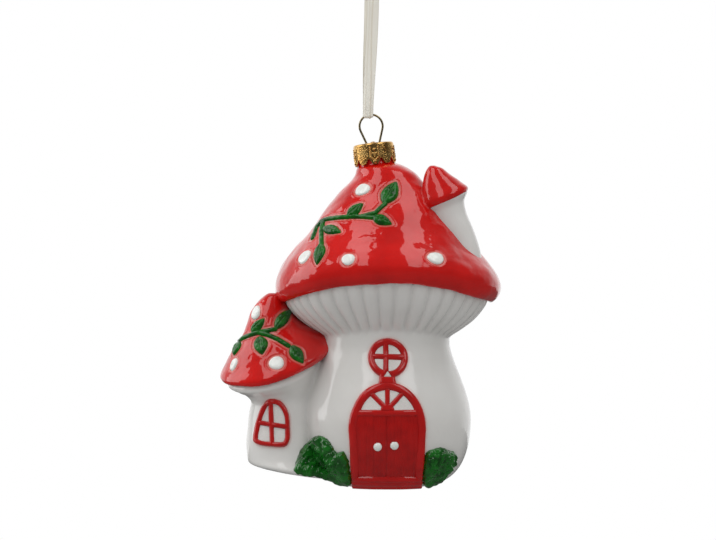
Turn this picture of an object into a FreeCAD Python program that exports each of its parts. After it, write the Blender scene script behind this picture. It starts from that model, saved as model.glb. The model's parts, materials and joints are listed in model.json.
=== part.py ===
import FreeCAD, Part
import math
import os

# Hanging toadstool house: a hollow moulded ornament with a metal crown, a spring wire and a ribbon loop.
# Millimetres, +X right, +Y away from the viewer, +Z up. The pieces are drawn on the house's own datum,
# the middle of the door at the foot, and each is then placed so that the inside top of the ribbon loop,
# where the ornament hangs on a branch, is the origin.

Vector = FreeCAD.Vector
X_AXIS, Y_AXIS, Z_AXIS = Vector(1, 0, 0), Vector(0, 1, 0), Vector(0, 0, 1)

os.makedirs("parts", exist_ok=True)
doc = FreeCAD.newDocument("toadstool_house")

# The driving dimensions.
DIMENSIONS = {
    # hanging point over the foot, and where it stands beside the door's middle
    "hang_rise": 159.0, "hang_side": -4.6,
    # moulded body
    "wall": 2.2, "depth_share": 0.85, "brim_wave": 6.0,
    "stem_rise": 47.2, "stem_half": 26.7,
    "gill_rise": 11.4, "gill_half": 32.6, "gill_depth": 0.38, "gill_count": 38,
    "cap_foot": 58.6, "cap_rise": 44.1, "cap_half": 36.0, "cap_mouth_half": 29.5,
    # small house on the left
    "annex_side": -33.1, "annex_front": -0.5, "annex_foot": 4.5, "annex_depth_share": 0.92,
    "annex_stem_rise": 33.0, "annex_stem_half": 13.0,
    "annex_cap_side": -35.2, "annex_cap_foot": 39.0, "annex_cap_rise": 22.6, "annex_cap_half": 17.3,
    # toadstool chimney on the right
    "dormer_side": 18.5, "dormer_front": 4.0, "dormer_half": 7.5, "dormer_depth_share": 0.95,
    "dormer_cap_foot": 90.4, "dormer_cap_rise": 11.3, "dormer_stem_foot": 71.4, "dormer_stem_rise": 18.2,
    # neck and crown
    "neck_side": -3.5, "neck_seat": 102.3, "neck_lean": 6.5, "neck_radius": 5.8, "neck_rise": 6.3,
    "neck_root": 1.6,
    "bore_radius": 4.3, "bore_depth": 5.0, "crown_gap": 0.3, "crown_radius": 6.4, "crown_sheet": 0.4,
    "crown_rise": 6.7, "scallop_count": 10, "scallop_radius": 0.75, "slot_side": 2.0, "slot_width": 1.2,
    "slot_length": 1.9, "bridge_radius": 1.25, "bridge_width": 1.6, "boss_radius": 0.6, "boss_rise": 0.3,
    # spring wire
    "wire_radius": 0.35, "ring_radius": 3.7, "ring_over_crown": 5.6, "leg_knee_side": 3.2,
    "leg_knee_drop": 9.0, "leg_end_side": 5.6, "leg_end_drop": 16.0, "knee_radius": 1.4,
    # ribbon
    "ribbon_width": 3.8, "ribbon_gather": 2.4, "ribbon_thickness": 0.32, "bight_side": -5.5,
    "knot_width": 5.0, "knot_depth": 3.5, "knot_rise": 3.6, "knot_round": 1.2,
    "tail_length": 7.5, "tail_spread": 24.0, "tail_tilt": 14.0,
    # door, windows
    "frame_relief": 1.3, "leaf_relief": 0.6, "pane_relief": 0.45, "bar_relief": 1.0, "step_relief": 1.6,
    "door_half": 12.1, "door_foot_half": 10.9, "door_foot": 1.5, "door_spring": 19.0, "door_crown": 34.0,
    "door_frame": 2.7, "rail_top": 25.4, "rail_foot": 23.4, "fan_bar": 1.35, "fan_hub": 2.25,
    "knob_radius": 1.3, "knob_side": 2.7, "knob_height": 14.0, "knob_rise": 0.9, "step_top": 4.4,
    "round_window_height": 41.3, "round_window_radius": 6.1, "round_frame": 2.1, "round_bar": 1.7,
    "link_half": 2.4, "annex_window_side": -36.1, "annex_window_half": 5.7, "annex_window_foot": 13.3,
    "annex_window_crown": 27.8, "annex_window_spring": 22.0, "annex_frame": 1.5, "annex_bar": 1.4,
    # relief work
    "dot_relief": 0.55, "dot_half": 2.4, "leaf_swell": 1.1, "leaf_length": 6.0, "leaf_width": 4.0,
    "stalk_radius": 0.75, "bush_relief": 2.3, "bush_rise": 16.0, "bush_ball": 3.0, "overrun": 1.0,
    "tool_reach": 40.0,
}
sheet = doc.addObject("Spreadsheet::Sheet", "dimensions")
for row, (alias, value) in enumerate(DIMENSIONS.items(), start=1):
    sheet.set("A%d" % row, alias)
    sheet.set("B%d" % row, repr(value))
    sheet.setAlias("B%d" % row, alias)
doc.recompute()


def size(alias):
    """A driving dimension, read back from the sheet."""
    return float(getattr(sheet, alias))


def feature(name, shape):
    """A document object for a shape that has no primitive of its own."""
    made = doc.addObject("Part::Feature", name)
    made.Shape = shape
    return made


def primitive(kind, name, **expressions):
    """A primitive whose sizes are bound to the sheet."""
    made = doc.addObject("Part::" + kind, name)
    for prop, expression in expressions.items():
        made.setExpression(prop, expression.replace("@", "dimensions."))
    return made


def boolean(kind, name, base, tool):
    """A cut, fuse or common of two document objects."""
    made = doc.addObject("Part::" + kind, name)
    made.Base, made.Tool = base, tool
    return made


# Hollow moulded body: sections of the mould, each an oval that may wave, lean and pitch.
def section(row, form, grow):
    """One oval of a form, moved outwards by grow.

    A row gives rise, left, right, wave, lean and pitch, and may end with a depth share of its own.
    """
    rise, left, right, wave, lean, pitch = row[:6]
    half, depth = form["half"], row[6] if len(row) > 6 else form["depth"]
    middle = form["side"] + half * (left + right) / 2
    across = half * (right - left) / 2 + grow
    along = half * (right - left) / 2 * depth + grow
    height = form["foot"] + form["rise"] * rise
    flutes = form.get("flutes", 0)
    count = 4 * int(flutes) if flutes else 20
    points = []
    for step in range(count):
        turn = math.tau * step / count
        groove = form["flute_depth"] * (math.cos(flutes * turn) - 1) / 2 if flutes else 0
        x, y = (across + groove) * math.cos(turn), (along + groove) * math.sin(turn)
        z = height + size("brim_wave") * wave * math.sin(turn) ** 2 + lean * x + pitch * y
        points.append(Vector(middle + x, y - form["front"], z))
    curve = Part.BSplineCurve()
    curve.interpolate(Points=points, PeriodicFlag=True)
    return Part.Wire(curve.toShape())


def skin(form, grow=0):
    """A solid through the ovals of a form, all of them moved outwards by grow."""
    return Part.makeLoft([section(row, form, grow) for row in form["row_shares"]], True, False, False)


stem_form = dict(
    side=0, front=0, foot=0, rise=size("stem_rise"), half=size("stem_half"), depth=size("depth_share"),
    row_shares=[
        (0.000, -0.524, 0.524, 0, 0, 0), (0.019, -0.637, 0.637, 0, 0, 0), (0.081, -0.783, 0.783, 0, 0, 0),
        (0.182, -0.899, 0.899, 0, 0, 0), (0.307, -0.970, 0.970, 0, 0, 0), (0.453, -1.000, 1.000, 0, 0, 0),
        (0.593, -0.966, 0.966, 0, 0, 0), (0.725, -0.895, 0.895, 0, 0, 0), (0.860, -0.809, 0.809, 0, 0, 0),
        (0.949, -0.757, 0.757, 0.05, 0, 0), (1.000, -0.749, 0.749, 0.32, 0, 0),
        (1.060, -0.680, 0.680, 0.20, 0, 0), (1.100, -0.540, 0.540, 0, 0, 0)])
gill_form = dict(
    side=0, front=0, foot=size("stem_rise"), rise=size("gill_rise"), half=size("gill_half"),
    depth=size("depth_share"), flutes=size("gill_count"), flute_depth=size("gill_depth"),
    row_shares=[
        (-0.300, -0.540, 0.540, 0, 0, 0), (0.000, -0.606, 0.606, 0.32, 0, 0),
        (0.211, -0.721, 0.721, 0.50, 0, 0), (0.491, -0.855, 0.855, 0.70, 0, 0),
        (0.772, -0.952, 0.945, 0.88, 0, 0), (1.020, -0.995, 0.990, 0.99, 0, 0),
        (1.500, -0.900, 0.900, 0, 0, 0)])
cap_form = dict(
    side=0, front=0, foot=size("cap_foot"), rise=size("cap_rise"), half=size("cap_half"),
    depth=size("depth_share"),
    row_shares=[
        (0.120, -0.760, 0.760, 0, 0, 0), (0.070, -0.820, 0.820, 0.50, 0, 0),
        (0.022, -0.880, 0.880, 0.94, 0, 0), (-0.002, -0.922, 0.922, 1.00, 0, 0),
        (0.022, -0.962, 0.972, 1.00, 0, 0),
        (0.066, -0.985, 1.006, 0.97, 0, 0), (0.122, -0.989, 1.017, 0.90, 0, 0),
        (0.190, -0.972, 0.989, 0.77, 0, 0), (0.268, -0.928, 0.922, 0.60, 0, 0),
        (0.376, -0.828, 0.811, 0.37, 0, 0), (0.522, -0.667, 0.678, 0.17, 0, 0),
        (0.667, -0.553, 0.556, 0.05, 0, 0), (0.776, -0.442, 0.444, 0, 0, 0),
        (0.866, -0.339, 0.339, 0, 0.03, 0, 0.90), (0.934, -0.281, 0.244, 0, 0.08, 0, 0.96),
        (0.975, -0.270, 0.135, 0, 0.10, 0, 1), (0.991, -0.262, 0.070, 0, 0.114, 0, 1)])
annex_stem_form = dict(
    side=size("annex_side"), front=size("annex_front"), foot=size("annex_foot"),
    rise=size("annex_stem_rise"), half=size("annex_stem_half"), depth=size("annex_depth_share"),
    row_shares=[
        (-0.001, -0.518, 1.425, 0, -0.15, 0), (0.043, -0.765, 1.548, 0, -0.12, 0),
        (0.155, -0.875, 1.155, 0, 0, 0), (0.300, -0.912, 0.958, 0, 0.02, 0),
        (0.445, -0.875, 0.860, 0, 0.04, 0), (0.572, -0.838, 0.835, 0, 0.06, 0),
        (0.707, -0.789, 0.786, 0, 0.10, 0.10), (0.785, -0.888, 0.860, 0, 0.16, 0.15),
        (0.901, -1.183, 0.958, -0.17, 0.25, 0.20), (0.985, -1.370, 1.020, -0.30, 0.30, 0.22),
        (1.100, -1.150, 0.800, 0, 0.30, 0.15)])
annex_cap_form = dict(
    side=size("annex_cap_side"), front=size("annex_front"), foot=size("annex_cap_foot"),
    rise=size("annex_cap_rise"), half=size("annex_cap_half"), depth=size("annex_depth_share"),
    row_shares=[
        (0.130, -0.780, 0.740, 0, 0.30, 0.15), (0.002, -0.971, 0.934, -0.33, 0.30, 0.22),
        (0.077, -1.015, 0.990, -0.33, 0.31, 0.22), (0.186, -0.934, 0.897, -0.27, 0.28, 0.20),
        (0.335, -0.805, 0.694, -0.17, 0.26, 0.15), (0.483, -0.657, 0.490, 0, 0.26, 0.10),
        (0.646, -0.546, 0.324, 0, 0.23, 0.05), (0.795, -0.472, 0.213, 0, 0.23, 0),
        (0.901, -0.361, 0.139, 0, 0.18, 0), (0.979, -0.213, 0.065, 0, 0.10, 0),
        (1.000, -0.139, 0.009, 0, 0, 0)])
dormer_cap_form = dict(
    side=size("dormer_side"), front=size("dormer_front"), foot=size("dormer_cap_foot"),
    rise=size("dormer_cap_rise"), half=size("dormer_half"), depth=size("dormer_depth_share"),
    row_shares=[
        (0.080, -0.780, 0.780, 0, 0.43, 0), (0.000, -0.931, 0.947, 0, 0.43, 0),
        (0.105, -1.000, 1.000, 0, 0.41, 0), (0.354, -0.995, 0.627, 0, 0.42, 0),
        (0.615, -0.931, 0.221, 0, 0.39, 0), (0.906, -0.803, -0.184, 0, 0.25, 0),
        (1.000, -0.653, -0.419, 0, 0, 0)])
dormer_stem_form = dict(
    side=size("dormer_side"), front=size("dormer_front"), foot=size("dormer_stem_foot"),
    rise=size("dormer_stem_rise"), half=size("dormer_half"), depth=size("dormer_depth_share"),
    row_shares=[
        (-0.002, 0.200, 1.565, 0, 0, 0), (0.209, 0.072, 1.459, 0, 0.05, 0),
        (0.525, -0.248, 1.181, 0, 0.15, 0), (0.842, -0.589, 0.904, 0, 0.30, 0),
        (1.030, -0.850, 0.860, 0, 0.42, 0), (1.100, -0.700, 0.720, 0, 0.43, 0)])

wall = size("wall")
stem_skin, gill_skin, cap_skin = skin(stem_form), skin(gill_form), skin(cap_form)
annex_stem_skin, annex_cap_skin = skin(annex_stem_form), skin(annex_cap_form)
dormer_stem_skin, dormer_cap_skin = skin(dormer_stem_form), skin(dormer_cap_form)


def cavity(form, rows, inset):
    """The hollow of a form: chosen rows drawn in by the wall, joined straight, run out past both ends."""
    inner = dict(form, flutes=0)
    wires = [section(row, inner, -inset) for row in rows]
    wires[0].translate(-size("overrun") * Z_AXIS)
    wires[-1].translate(size("overrun") * Z_AXIS)
    return Part.makeLoft(wires, True, True, False)


NECK_PLACE = FreeCAD.Placement(
    Vector(size("neck_side"), 0, size("neck_seat")), FreeCAD.Rotation(Y_AXIS, -size("neck_lean")))

# Main stem: a hollow round house wall with a flat foot and a domed shoulder that the gills sit on.
stem_hollow = cavity(stem_form, stem_form["row_shares"][2:], wall)
main_stem = feature("main_stem", stem_skin.cut(stem_hollow))

# Gills: the fluted underside, a thin skirt between the stem's shoulder and the cap's rolled lip.
gill_hollow = cavity(gill_form, gill_form["row_shares"], wall)
main_gills = feature("main_gills", gill_skin.cut(gill_hollow).cut(stem_skin).cut(cap_skin))

# Cap: a hollow bell with a rolled lip, open below at its mouth and above through the neck's bore.
cap_floor_shares = (0.205, -0.930, 0.935, 0, 0, 0)
cap_hollow = cavity(cap_form, [cap_floor_shares] + cap_form["row_shares"][7:15], wall)
mouth_half = size("cap_mouth_half")
mouth_rim = Part.Ellipse(Vector(0, 0, size("stem_rise")), mouth_half, mouth_half * size("depth_share"))
mouth_top = size("cap_foot") + size("cap_rise") * cap_floor_shares[0]
mouth = Part.Face(Part.Wire(mouth_rim.toShape())).extrude((mouth_top - size("stem_rise")) * Z_AXIS)
neck = primitive("Cylinder", "neck", Radius="@neck_radius", Height="@neck_rise + @neck_root")
neck.setExpression("Placement.Base.z", "-dimensions.neck_root")
bore = primitive("Cylinder", "bore", Radius="@bore_radius", Height="@neck_rise + @bore_depth + @overrun")
bore.setExpression("Placement.Base.z", "-dimensions.bore_depth")
doc.recompute()
neck_shape, bore_shape = neck.Shape.copy(), bore.Shape.copy()
for part in (neck_shape, bore_shape):
    part.Placement = NECK_PLACE.multiply(part.Placement)
main_cap = feature("main_cap", cap_skin.fuse(neck_shape).cut(cap_hollow).cut(mouth).cut(bore_shape))

# Small house on the left, leaning away: a hollow stem that flares out under a leaning hollow cap.
annex_floor_shares = (0.125, -0.860, 1.250, 0, -0.02, 0)
annex_hollow = cavity(annex_stem_form, [annex_floor_shares] + annex_stem_form["row_shares"][3:], wall)
plain_gill_skin = skin(dict(gill_form, flutes=0))
main_skins = [stem_skin, plain_gill_skin, cap_skin]
annex_stem = feature("annex_stem", annex_stem_skin.cut([annex_hollow] + main_skins))
annex_cap_rows = annex_cap_form["row_shares"]
annex_cap_hollow = cavity(annex_cap_form, annex_cap_rows[:1] + annex_cap_rows[3:9], wall)
annex_cap = feature("annex_cap", annex_cap_skin.cut([annex_cap_hollow, annex_stem_skin] + main_skins))

# Toadstool chimney on the right slope of the cap.
dormer_stem = feature("dormer_stem", dormer_stem_skin.cut(cap_skin))
dormer_cap = feature("dormer_cap", dormer_cap_skin.cut([dormer_stem_skin, cap_skin]))

SUB_PARTS = [main_stem, main_gills, main_cap, annex_stem, annex_cap, dormer_stem, dormer_cap]


# Relief work: each sprig is pressed on a skin, so it starts exactly where that skin ends.
def front_point(carrier, side, height):
    """Where a line from the viewer meets a skin, and the skin's outward normal there."""
    reach = size("tool_reach")
    line = Part.makeLine(Vector(side, -reach, height), Vector(side, 0, height))
    inside = line.common(carrier)
    if not inside.Vertexes:
        raise RuntimeError("no skin at %s, %s" % (side, height))
    point = min((v.Point for v in inside.Vertexes), key=lambda p: p.y)
    face = max(carrier.Faces, key=lambda f: f.Area)
    normal = face.normalAt(*face.Surface.parameter(point))
    return point, normal if normal.y < 0 else -normal


def pressed(shape, carrier, side, height, turn=0):
    """Move a shape drawn about the origin, z outward and y up, onto a skin, turned about the normal."""
    point, normal = front_point(carrier, side, height)
    across = Z_AXIS.cross(normal)
    across.normalize()
    upward = normal.cross(across)
    frame = FreeCAD.Matrix(
        across.x, upward.x, normal.x, point.x, across.y, upward.y, normal.y, point.y,
        across.z, upward.z, normal.z, point.z, 0, 0, 0, 1)
    placed = shape.copy()
    placed.rotate(Vector(), Z_AXIS, turn)
    placed.Placement = FreeCAD.Placement(frame).multiply(placed.Placement)
    return placed


def dome(half_long, half_wide, swell):
    """Half of a flattened ball, drawn whole so that its lower half sinks into the carrier."""
    scale = FreeCAD.Matrix()
    scale.scale(half_long, half_wide, swell)
    return Part.makeSphere(1).transformGeometry(scale)


LEAF_DOME_SHARES = (0.62, 0.72)


def leaf(long, wide):
    """A pointed, domed leaf with its stalk end at the origin, growing along x."""
    bow = (long * long + wide * wide) / (4 * wide)
    rim = bow - wide / 2
    reach = size("tool_reach")
    sides = [Part.makeCylinder(bow, reach, Vector(long / 2, way * rim, -reach / 2)) for way in (1, -1)]
    body = dome(long * LEAF_DOME_SHARES[0], wide * LEAF_DOME_SHARES[1], size("leaf_swell"))
    body.translate(Vector(long / 2, 0, 0))
    return body.common(sides[0]).common(sides[1])


def stalk(carrier, places):
    """A round stalk laid along a skin through a few places, half sunk into it."""
    points = [front_point(carrier, side, height)[0] for side, height in places]
    curve = Part.BSplineCurve()
    curve.interpolate(Points=points)
    spine = Part.Wire(curve.toShape())
    start = curve.value(curve.FirstParameter)
    rim = Part.Circle(start, curve.tangent(curve.FirstParameter)[0], size("stalk_radius")).toShape()
    return spine.makePipeShell([Part.Wire(rim)], True, True)


def sprig(name, carrier, shapes, others=()):
    """Join the pieces of a sprig and take away what its carrier and its neighbours already fill."""
    whole = shapes[0].multiFuse(shapes[1:]) if len(shapes) > 1 else shapes[0]
    made = feature(name, whole.cut([carrier] + list(others)))
    SUB_PARTS.append(made)
    return made


def on_cap(form, side_share, rise_share):
    """A side and a height on a cap, from shares of its half width and of its rise."""
    return form["side"] + form["half"] * side_share, form["foot"] + form["rise"] * rise_share


# Dots on the caps: flat white drops of enamel. A row gives side, height and the shares of its half sizes.
MAIN_DOT_SHARES = [(-0.21, 0.81, 1.00, 0.90), (-0.71, 0.32, 0.96, 1.08), (-0.34, 0.31, 0.92, 0.81),
                   (0.41, 0.315, 1.15, 0.94)]
ANNEX_DOT_SHARES = [(-0.37, 0.73, 0.79, 0.96), (0.03, 0.05, 1.00, 0.96), (-0.76, 0.01, 0.63, 0.88)]


def drops(name, form, carrier, table, others=()):
    """The enamel drops of one cap."""
    placed = []
    for side_share, rise_share, wide_share, tall_share in table:
        drop = dome(size("dot_half") * wide_share, size("dot_half") * tall_share, size("dot_relief"))
        placed.append(pressed(drop, carrier, *on_cap(form, side_share, rise_share)))
    return sprig(name, carrier, placed, others)


main_dots = drops("main_cap_dots", cap_form, cap_skin, MAIN_DOT_SHARES)
annex_dots = drops("annex_cap_dots", annex_cap_form, annex_cap_skin, ANNEX_DOT_SHARES, [annex_stem_skin])

# Vines: round stalks and pointed leaves. A leaf row gives side, height, length, width and turn in degrees.
MAIN_STALK_SHARES = [
    [(-0.556, 0.583), (-0.461, 0.596), (-0.353, 0.605), (-0.236, 0.608), (-0.103, 0.635), (-0.025, 0.703)],
    [(-0.556, 0.583), (-0.567, 0.531), (-0.575, 0.408)], [(-0.556, 0.583), (-0.606, 0.533), (-0.647, 0.467)],
    [(-0.236, 0.608), (-0.139, 0.596), (-0.083, 0.590)]]
MAIN_LEAF_SHARES = [
    (-0.028, 0.696, 1.10, 1.30, 62), (-0.117, 0.612, 0.97, 0.93, -22), (-0.344, 0.608, 1.07, 0.90, 38),
    (-0.556, 0.528, 1.03, 0.90, -10), (-0.578, 0.417, 1.10, 1.05, -96)]
ANNEX_STALK_SHARES = [
    [(-0.60, 0.350), (-0.45, 0.398), (-0.318, 0.438), (-0.13, 0.407), (0.08, 0.345), (0.24, 0.270)],
    [(-0.318, 0.438), (-0.15, 0.473), (0.01, 0.496)]]
ANNEX_LEAF_SHARES = [
    (-0.39, 0.43, 0.93, 0.85, 48), (0.00, 0.487, 1.03, 0.90, 50), (-0.31, 0.41, 0.90, 1.20, -80),
    (0.24, 0.283, 0.87, 0.98, -52), (-0.62, 0.336, 0.73, 0.80, -108)]


def vine(name, form, carrier, stalk_table, leaf_table, others):
    """The stalks and leaves of one cap's vine."""
    pieces = [stalk(carrier, [on_cap(form, *place) for place in places]) for places in stalk_table]
    for side_share, rise_share, long_share, wide_share, turn in leaf_table:
        blade = leaf(size("leaf_length") * long_share, size("leaf_width") * wide_share)
        pieces.append(pressed(blade, carrier, *on_cap(form, side_share, rise_share), turn))
    return sprig(name, carrier, pieces, others)


vine("main_vine", cap_form, cap_skin, MAIN_STALK_SHARES, MAIN_LEAF_SHARES, [main_dots.Shape])
vine("annex_vine", annex_cap_form, annex_cap_skin, ANNEX_STALK_SHARES, ANNEX_LEAF_SHARES,
     [annex_dots.Shape, annex_stem_skin])


# Door and windows: each piece is an outline carried through a band of its own relief on a skin.
def arch(half, foot_half, foot, spring, crown, inset=0, middle=0):
    """An arched outline with sides that lean in to the foot and a top that is half an oval."""
    hub = Vector(middle, -size("tool_reach"), spring)
    across, over = half - inset, crown - spring - inset
    rise, side = Vector(hub.x, hub.y, spring + over), Vector(hub.x + across, hub.y, spring)
    bow = Part.Ellipse(rise, side, hub) if over > across else Part.Ellipse(side, rise, hub)
    quarter = math.pi / 2
    top = bow.toShape(-quarter, quarter) if over > across else bow.toShape(0, math.pi)
    ends = sorted((v.Point for v in top.Vertexes), key=lambda p: p.x)
    feet = [Vector(middle + way * (foot_half - inset), hub.y, foot) for way in (-1, 1)]
    rest = [Part.makeLine(ends[0], feet[0]), Part.makeLine(feet[0], feet[1]), Part.makeLine(feet[1], ends[1])]
    outline = Part.Face(Part.Wire(Part.__sortEdges__([top] + rest)))
    return outline.extrude(size("tool_reach") * Y_AXIS)


def slab(left, right, foot, top):
    """A block in front of the house between two sides and two heights."""
    reach = size("tool_reach")
    return Part.makeBox(right - left, reach, top - foot, Vector(left, -reach, foot))


def disc(radius, side, height):
    """A round bar in front of the house."""
    reach = size("tool_reach")
    return Part.makeCylinder(radius, reach, Vector(side, -reach, height), Y_AXIS)


def spoke(side, height, turn, width):
    """A bar that starts at a hub and runs out at an angle over the ground."""
    bar = slab(side, side + size("door_half") * 2, height - width / 2, height + width / 2)
    bar.rotate(Vector(side, 0, height), Y_AXIS, -turn)
    return bar


def raised(name, outline, form, carrier, relief):
    """A flat relief of one thickness on a skin, kept to an outline."""
    made = feature(name, outline.common(skin(form, size(relief))).cut(carrier))
    SUB_PARTS.append(made)
    return made


door_sizes = [size(a) for a in ("door_half", "door_foot_half", "door_foot", "door_spring", "door_crown")]
door_outside, door_inside = arch(*door_sizes), arch(*door_sizes, inset=size("door_frame"))
foot_half, step_top = size("door_foot_half"), size("step_top")
step_block = slab(-foot_half, foot_half, size("door_foot") / 2, step_top)
rail = slab(-foot_half, foot_half, size("rail_foot"), size("rail_top")).common(door_inside)
fan_light = door_inside.common(slab(-size("door_half"), size("door_half"), size("rail_top"),
                                    size("door_crown")))
FAN_TURNS = (47, 90, 135)
spokes = [spoke(0, size("rail_top"), turn, size("fan_bar")).common(fan_light) for turn in FAN_TURNS]
hub = disc(size("fan_hub"), 0, size("rail_top")).common(fan_light)
fan_bars = hub.multiFuse(spokes)
raised("door_frame", door_outside.cut([door_inside, step_block]).fuse(rail), stem_form, stem_skin,
       "frame_relief")
raised("fanlight_bars", fan_bars, stem_form, stem_skin, "bar_relief")
raised("fanlight_panes", fan_light.cut(fan_bars), stem_form, stem_skin, "pane_relief")
leaf_area = door_inside.common(slab(-foot_half, foot_half, step_top, size("rail_foot")))
raised("door_leaves", leaf_area, stem_form, stem_skin, "leaf_relief")
raised("door_step", step_block, stem_form, stem_skin, "step_relief")
door_face = skin(stem_form, size("leaf_relief"))
knob_radius = size("knob_radius")
knobs = [pressed(dome(knob_radius, knob_radius, size("knob_rise")), door_face,
                 way * size("knob_side"), size("knob_height")) for way in (-1, 1)]
sprig("door_knobs", door_face, knobs)

round_height, round_radius = size("round_window_height"), size("round_window_radius")
round_hole = disc(round_radius - size("round_frame"), 0, round_height)
bar_half = size("round_bar") / 2
cross = slab(-bar_half, bar_half, round_height - round_radius, round_height + round_radius).fuse(
    slab(-round_radius, round_radius, round_height - bar_half, round_height + bar_half))
link = slab(-size("link_half"), size("link_half"), size("door_spring"), round_height)
round_ring = disc(round_radius, 0, round_height).fuse(link).cut([round_hole, door_outside])
raised("round_window_frame", round_ring.fuse(cross.common(round_hole)), stem_form, stem_skin,
       "frame_relief")
raised("round_window_panes", round_hole.cut(cross), stem_form, stem_skin, "pane_relief")

annex_window = [size("annex_window_half"), size("annex_window_half"), size("annex_window_foot"),
                size("annex_window_spring"), size("annex_window_crown")]
annex_middle, annex_frame = size("annex_window_side"), size("annex_frame")
annex_outside = arch(*annex_window, middle=annex_middle)
annex_inside = arch(*annex_window, inset=annex_frame, middle=annex_middle).cut(
    slab(annex_middle - size("door_half"), annex_middle + size("door_half"), 0,
         size("annex_window_foot") + annex_frame))
annex_bar_half = size("annex_bar") / 2
sill = (size("annex_window_spring") * 2 + size("annex_window_foot")) / 3 + annex_bar_half
annex_cross = slab(annex_middle - annex_bar_half, annex_middle + annex_bar_half,
                   size("annex_window_foot"), size("annex_window_crown")).fuse(
    slab(annex_middle - size("annex_window_half"), annex_middle + size("annex_window_half"),
         sill - annex_bar_half, sill + annex_bar_half))
annex_panes = annex_inside.cut(annex_cross)
raised("annex_window_frame", annex_outside.cut(annex_panes), annex_stem_form, annex_stem_skin,
       "frame_relief")
raised("annex_window_panes", annex_panes, annex_stem_form, annex_stem_skin, "pane_relief")

# Bushes: clumps of leaf balls pressed into the corner between wall and ground. A row gives the side as a
# share of the stem's half width, then shares of the bush's rise and of a ball's radius.
BUSH_SHARES = dict(
    bush_left=[(-1.019, 0.35, 0.867), (-0.996, 0.60, 0.90), (-0.914, 0.7875, 0.933), (-0.809, 0.8875, 0.90),
               (-0.719, 0.7125, 0.967), (-0.869, 0.5375, 1.20), (-0.697, 0.4375, 1.133),
               (-0.562, 0.6125, 0.867), (-0.547, 0.375, 0.933), (-0.839, 0.3125, 1.067),
               (-0.667, 0.2625, 0.867)],
    bush_right=[(0.51, 0.50, 0.87), (0.61, 0.64, 0.93), (0.73, 0.60, 0.83), (0.62, 0.40, 1.07),
                (0.72, 0.41, 0.87), (0.54, 0.26, 0.87), (0.64, 0.24, 0.67)])
door_block = door_outside.fuse(step_block)
walls = stem_skin.fuse(annex_stem_skin)
for name, table in BUSH_SHARES.items():
    balls = []
    for side_share, rise_share, ball_share in table:
        side, height = size("stem_half") * side_share, size("bush_rise") * rise_share
        radius = size("bush_ball") * ball_share
        point = front_point(walls, side, height)[0]
        balls.append(Part.makeSphere(radius, point + (radius - size("bush_relief")) / 2 * Y_AXIS))
    sprig(name, stem_skin, balls, [annex_stem_skin, door_block])

# Crown: a stamped cup over the neck, with a scalloped skirt, two slots and a raised bridge.
crown_shell = primitive("Cylinder", "crown_shell", Radius="@crown_radius", Height="@crown_rise")
crown_shell.setExpression("Placement.Base.z", "dimensions.crown_gap")
crown_room = primitive("Cylinder", "crown_room", Radius="@crown_radius - @crown_sheet",
                       Height="@crown_rise - @crown_sheet + @overrun")
crown_room.setExpression("Placement.Base.z", "dimensions.crown_gap - dimensions.overrun")
doc.recompute()
crown_top = size("crown_gap") + size("crown_rise")
bridge = primitive("Cylinder", "bridge", Radius="@bridge_radius", Height="@bridge_width")
bridge.Placement = FreeCAD.Placement(
    Vector(0, size("bridge_width") / 2, crown_top - size("bridge_radius") / 2),
    FreeCAD.Rotation(X_AXIS, 90))
studs = [bridge]
for step in range(int(size("scallop_count")) // 2):
    turn = math.tau * (2 * step) / size("scallop_count") - math.pi / 2
    stud = primitive("Sphere", "boss_%d" % step, Radius="@boss_radius")
    rim = size("crown_radius") + size("boss_rise") - size("boss_radius")
    stud.Placement.Base = Vector(rim * math.cos(turn), rim * math.sin(turn), crown_top / 2)
    studs.append(stud)
crown_blank = doc.addObject("Part::MultiFuse", "crown_blank")
crown_blank.Shapes = [crown_shell] + studs
crown_cup = boolean("Cut", "crown_cup", crown_blank, crown_room)
cutters = []
for step in range(int(size("scallop_count"))):
    turn = 360 * (step + 0.5) / size("scallop_count") - 90
    notch = primitive("Cylinder", "notch_%d" % step, Radius="@scallop_radius",
                      Height="@crown_radius + @overrun")
    level = FreeCAD.Rotation(Y_AXIS, 90)
    notch.Placement = FreeCAD.Placement(Vector(0, 0, size("crown_gap")),
                                        FreeCAD.Rotation(Z_AXIS, turn).multiply(level))
    cutters.append(notch)
for way in (-1, 1):
    slot = primitive("Box", "slot_%d" % (way + 1), Length="@slot_width", Width="@slot_length",
                     Height="@crown_sheet + @overrun * 2")
    slot.Placement.Base = Vector(way * size("slot_side") - size("slot_width") / 2,
                                 -size("slot_length") / 2, crown_top - size("overrun"))
    cutters.append(slot)
crown_cutters = doc.addObject("Part::MultiFuse", "crown_cutters")
crown_cutters.Shapes = cutters
crown = boolean("Cut", "crown", crown_cup, crown_cutters)
doc.recompute()
crown.Placement = NECK_PLACE
SUB_PARTS.append(crown)


# Spring wire: a round ring whose legs close to the slots, then spread inside the neck.
def rounded(points, radius):
    """Edges along a line of points with its inner corners rounded."""
    edges, start = [], points[0]
    for before, corner, after in zip(points, points[1:], points[2:]):
        back, ahead = (before - corner).normalize(), (after - corner).normalize()
        half_turn = back.getAngle(ahead) / 2
        trim = radius / math.tan(half_turn)
        into, out = corner + back * trim, corner + ahead * trim
        bisector = (back + ahead).normalize()
        nearest = corner + bisector * (radius / math.sin(half_turn) - radius)
        edges += [Part.makeLine(start, into), Part.Arc(into, nearest, out).toShape()]
        start = out
    return edges + [Part.makeLine(start, points[-1])]


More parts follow.
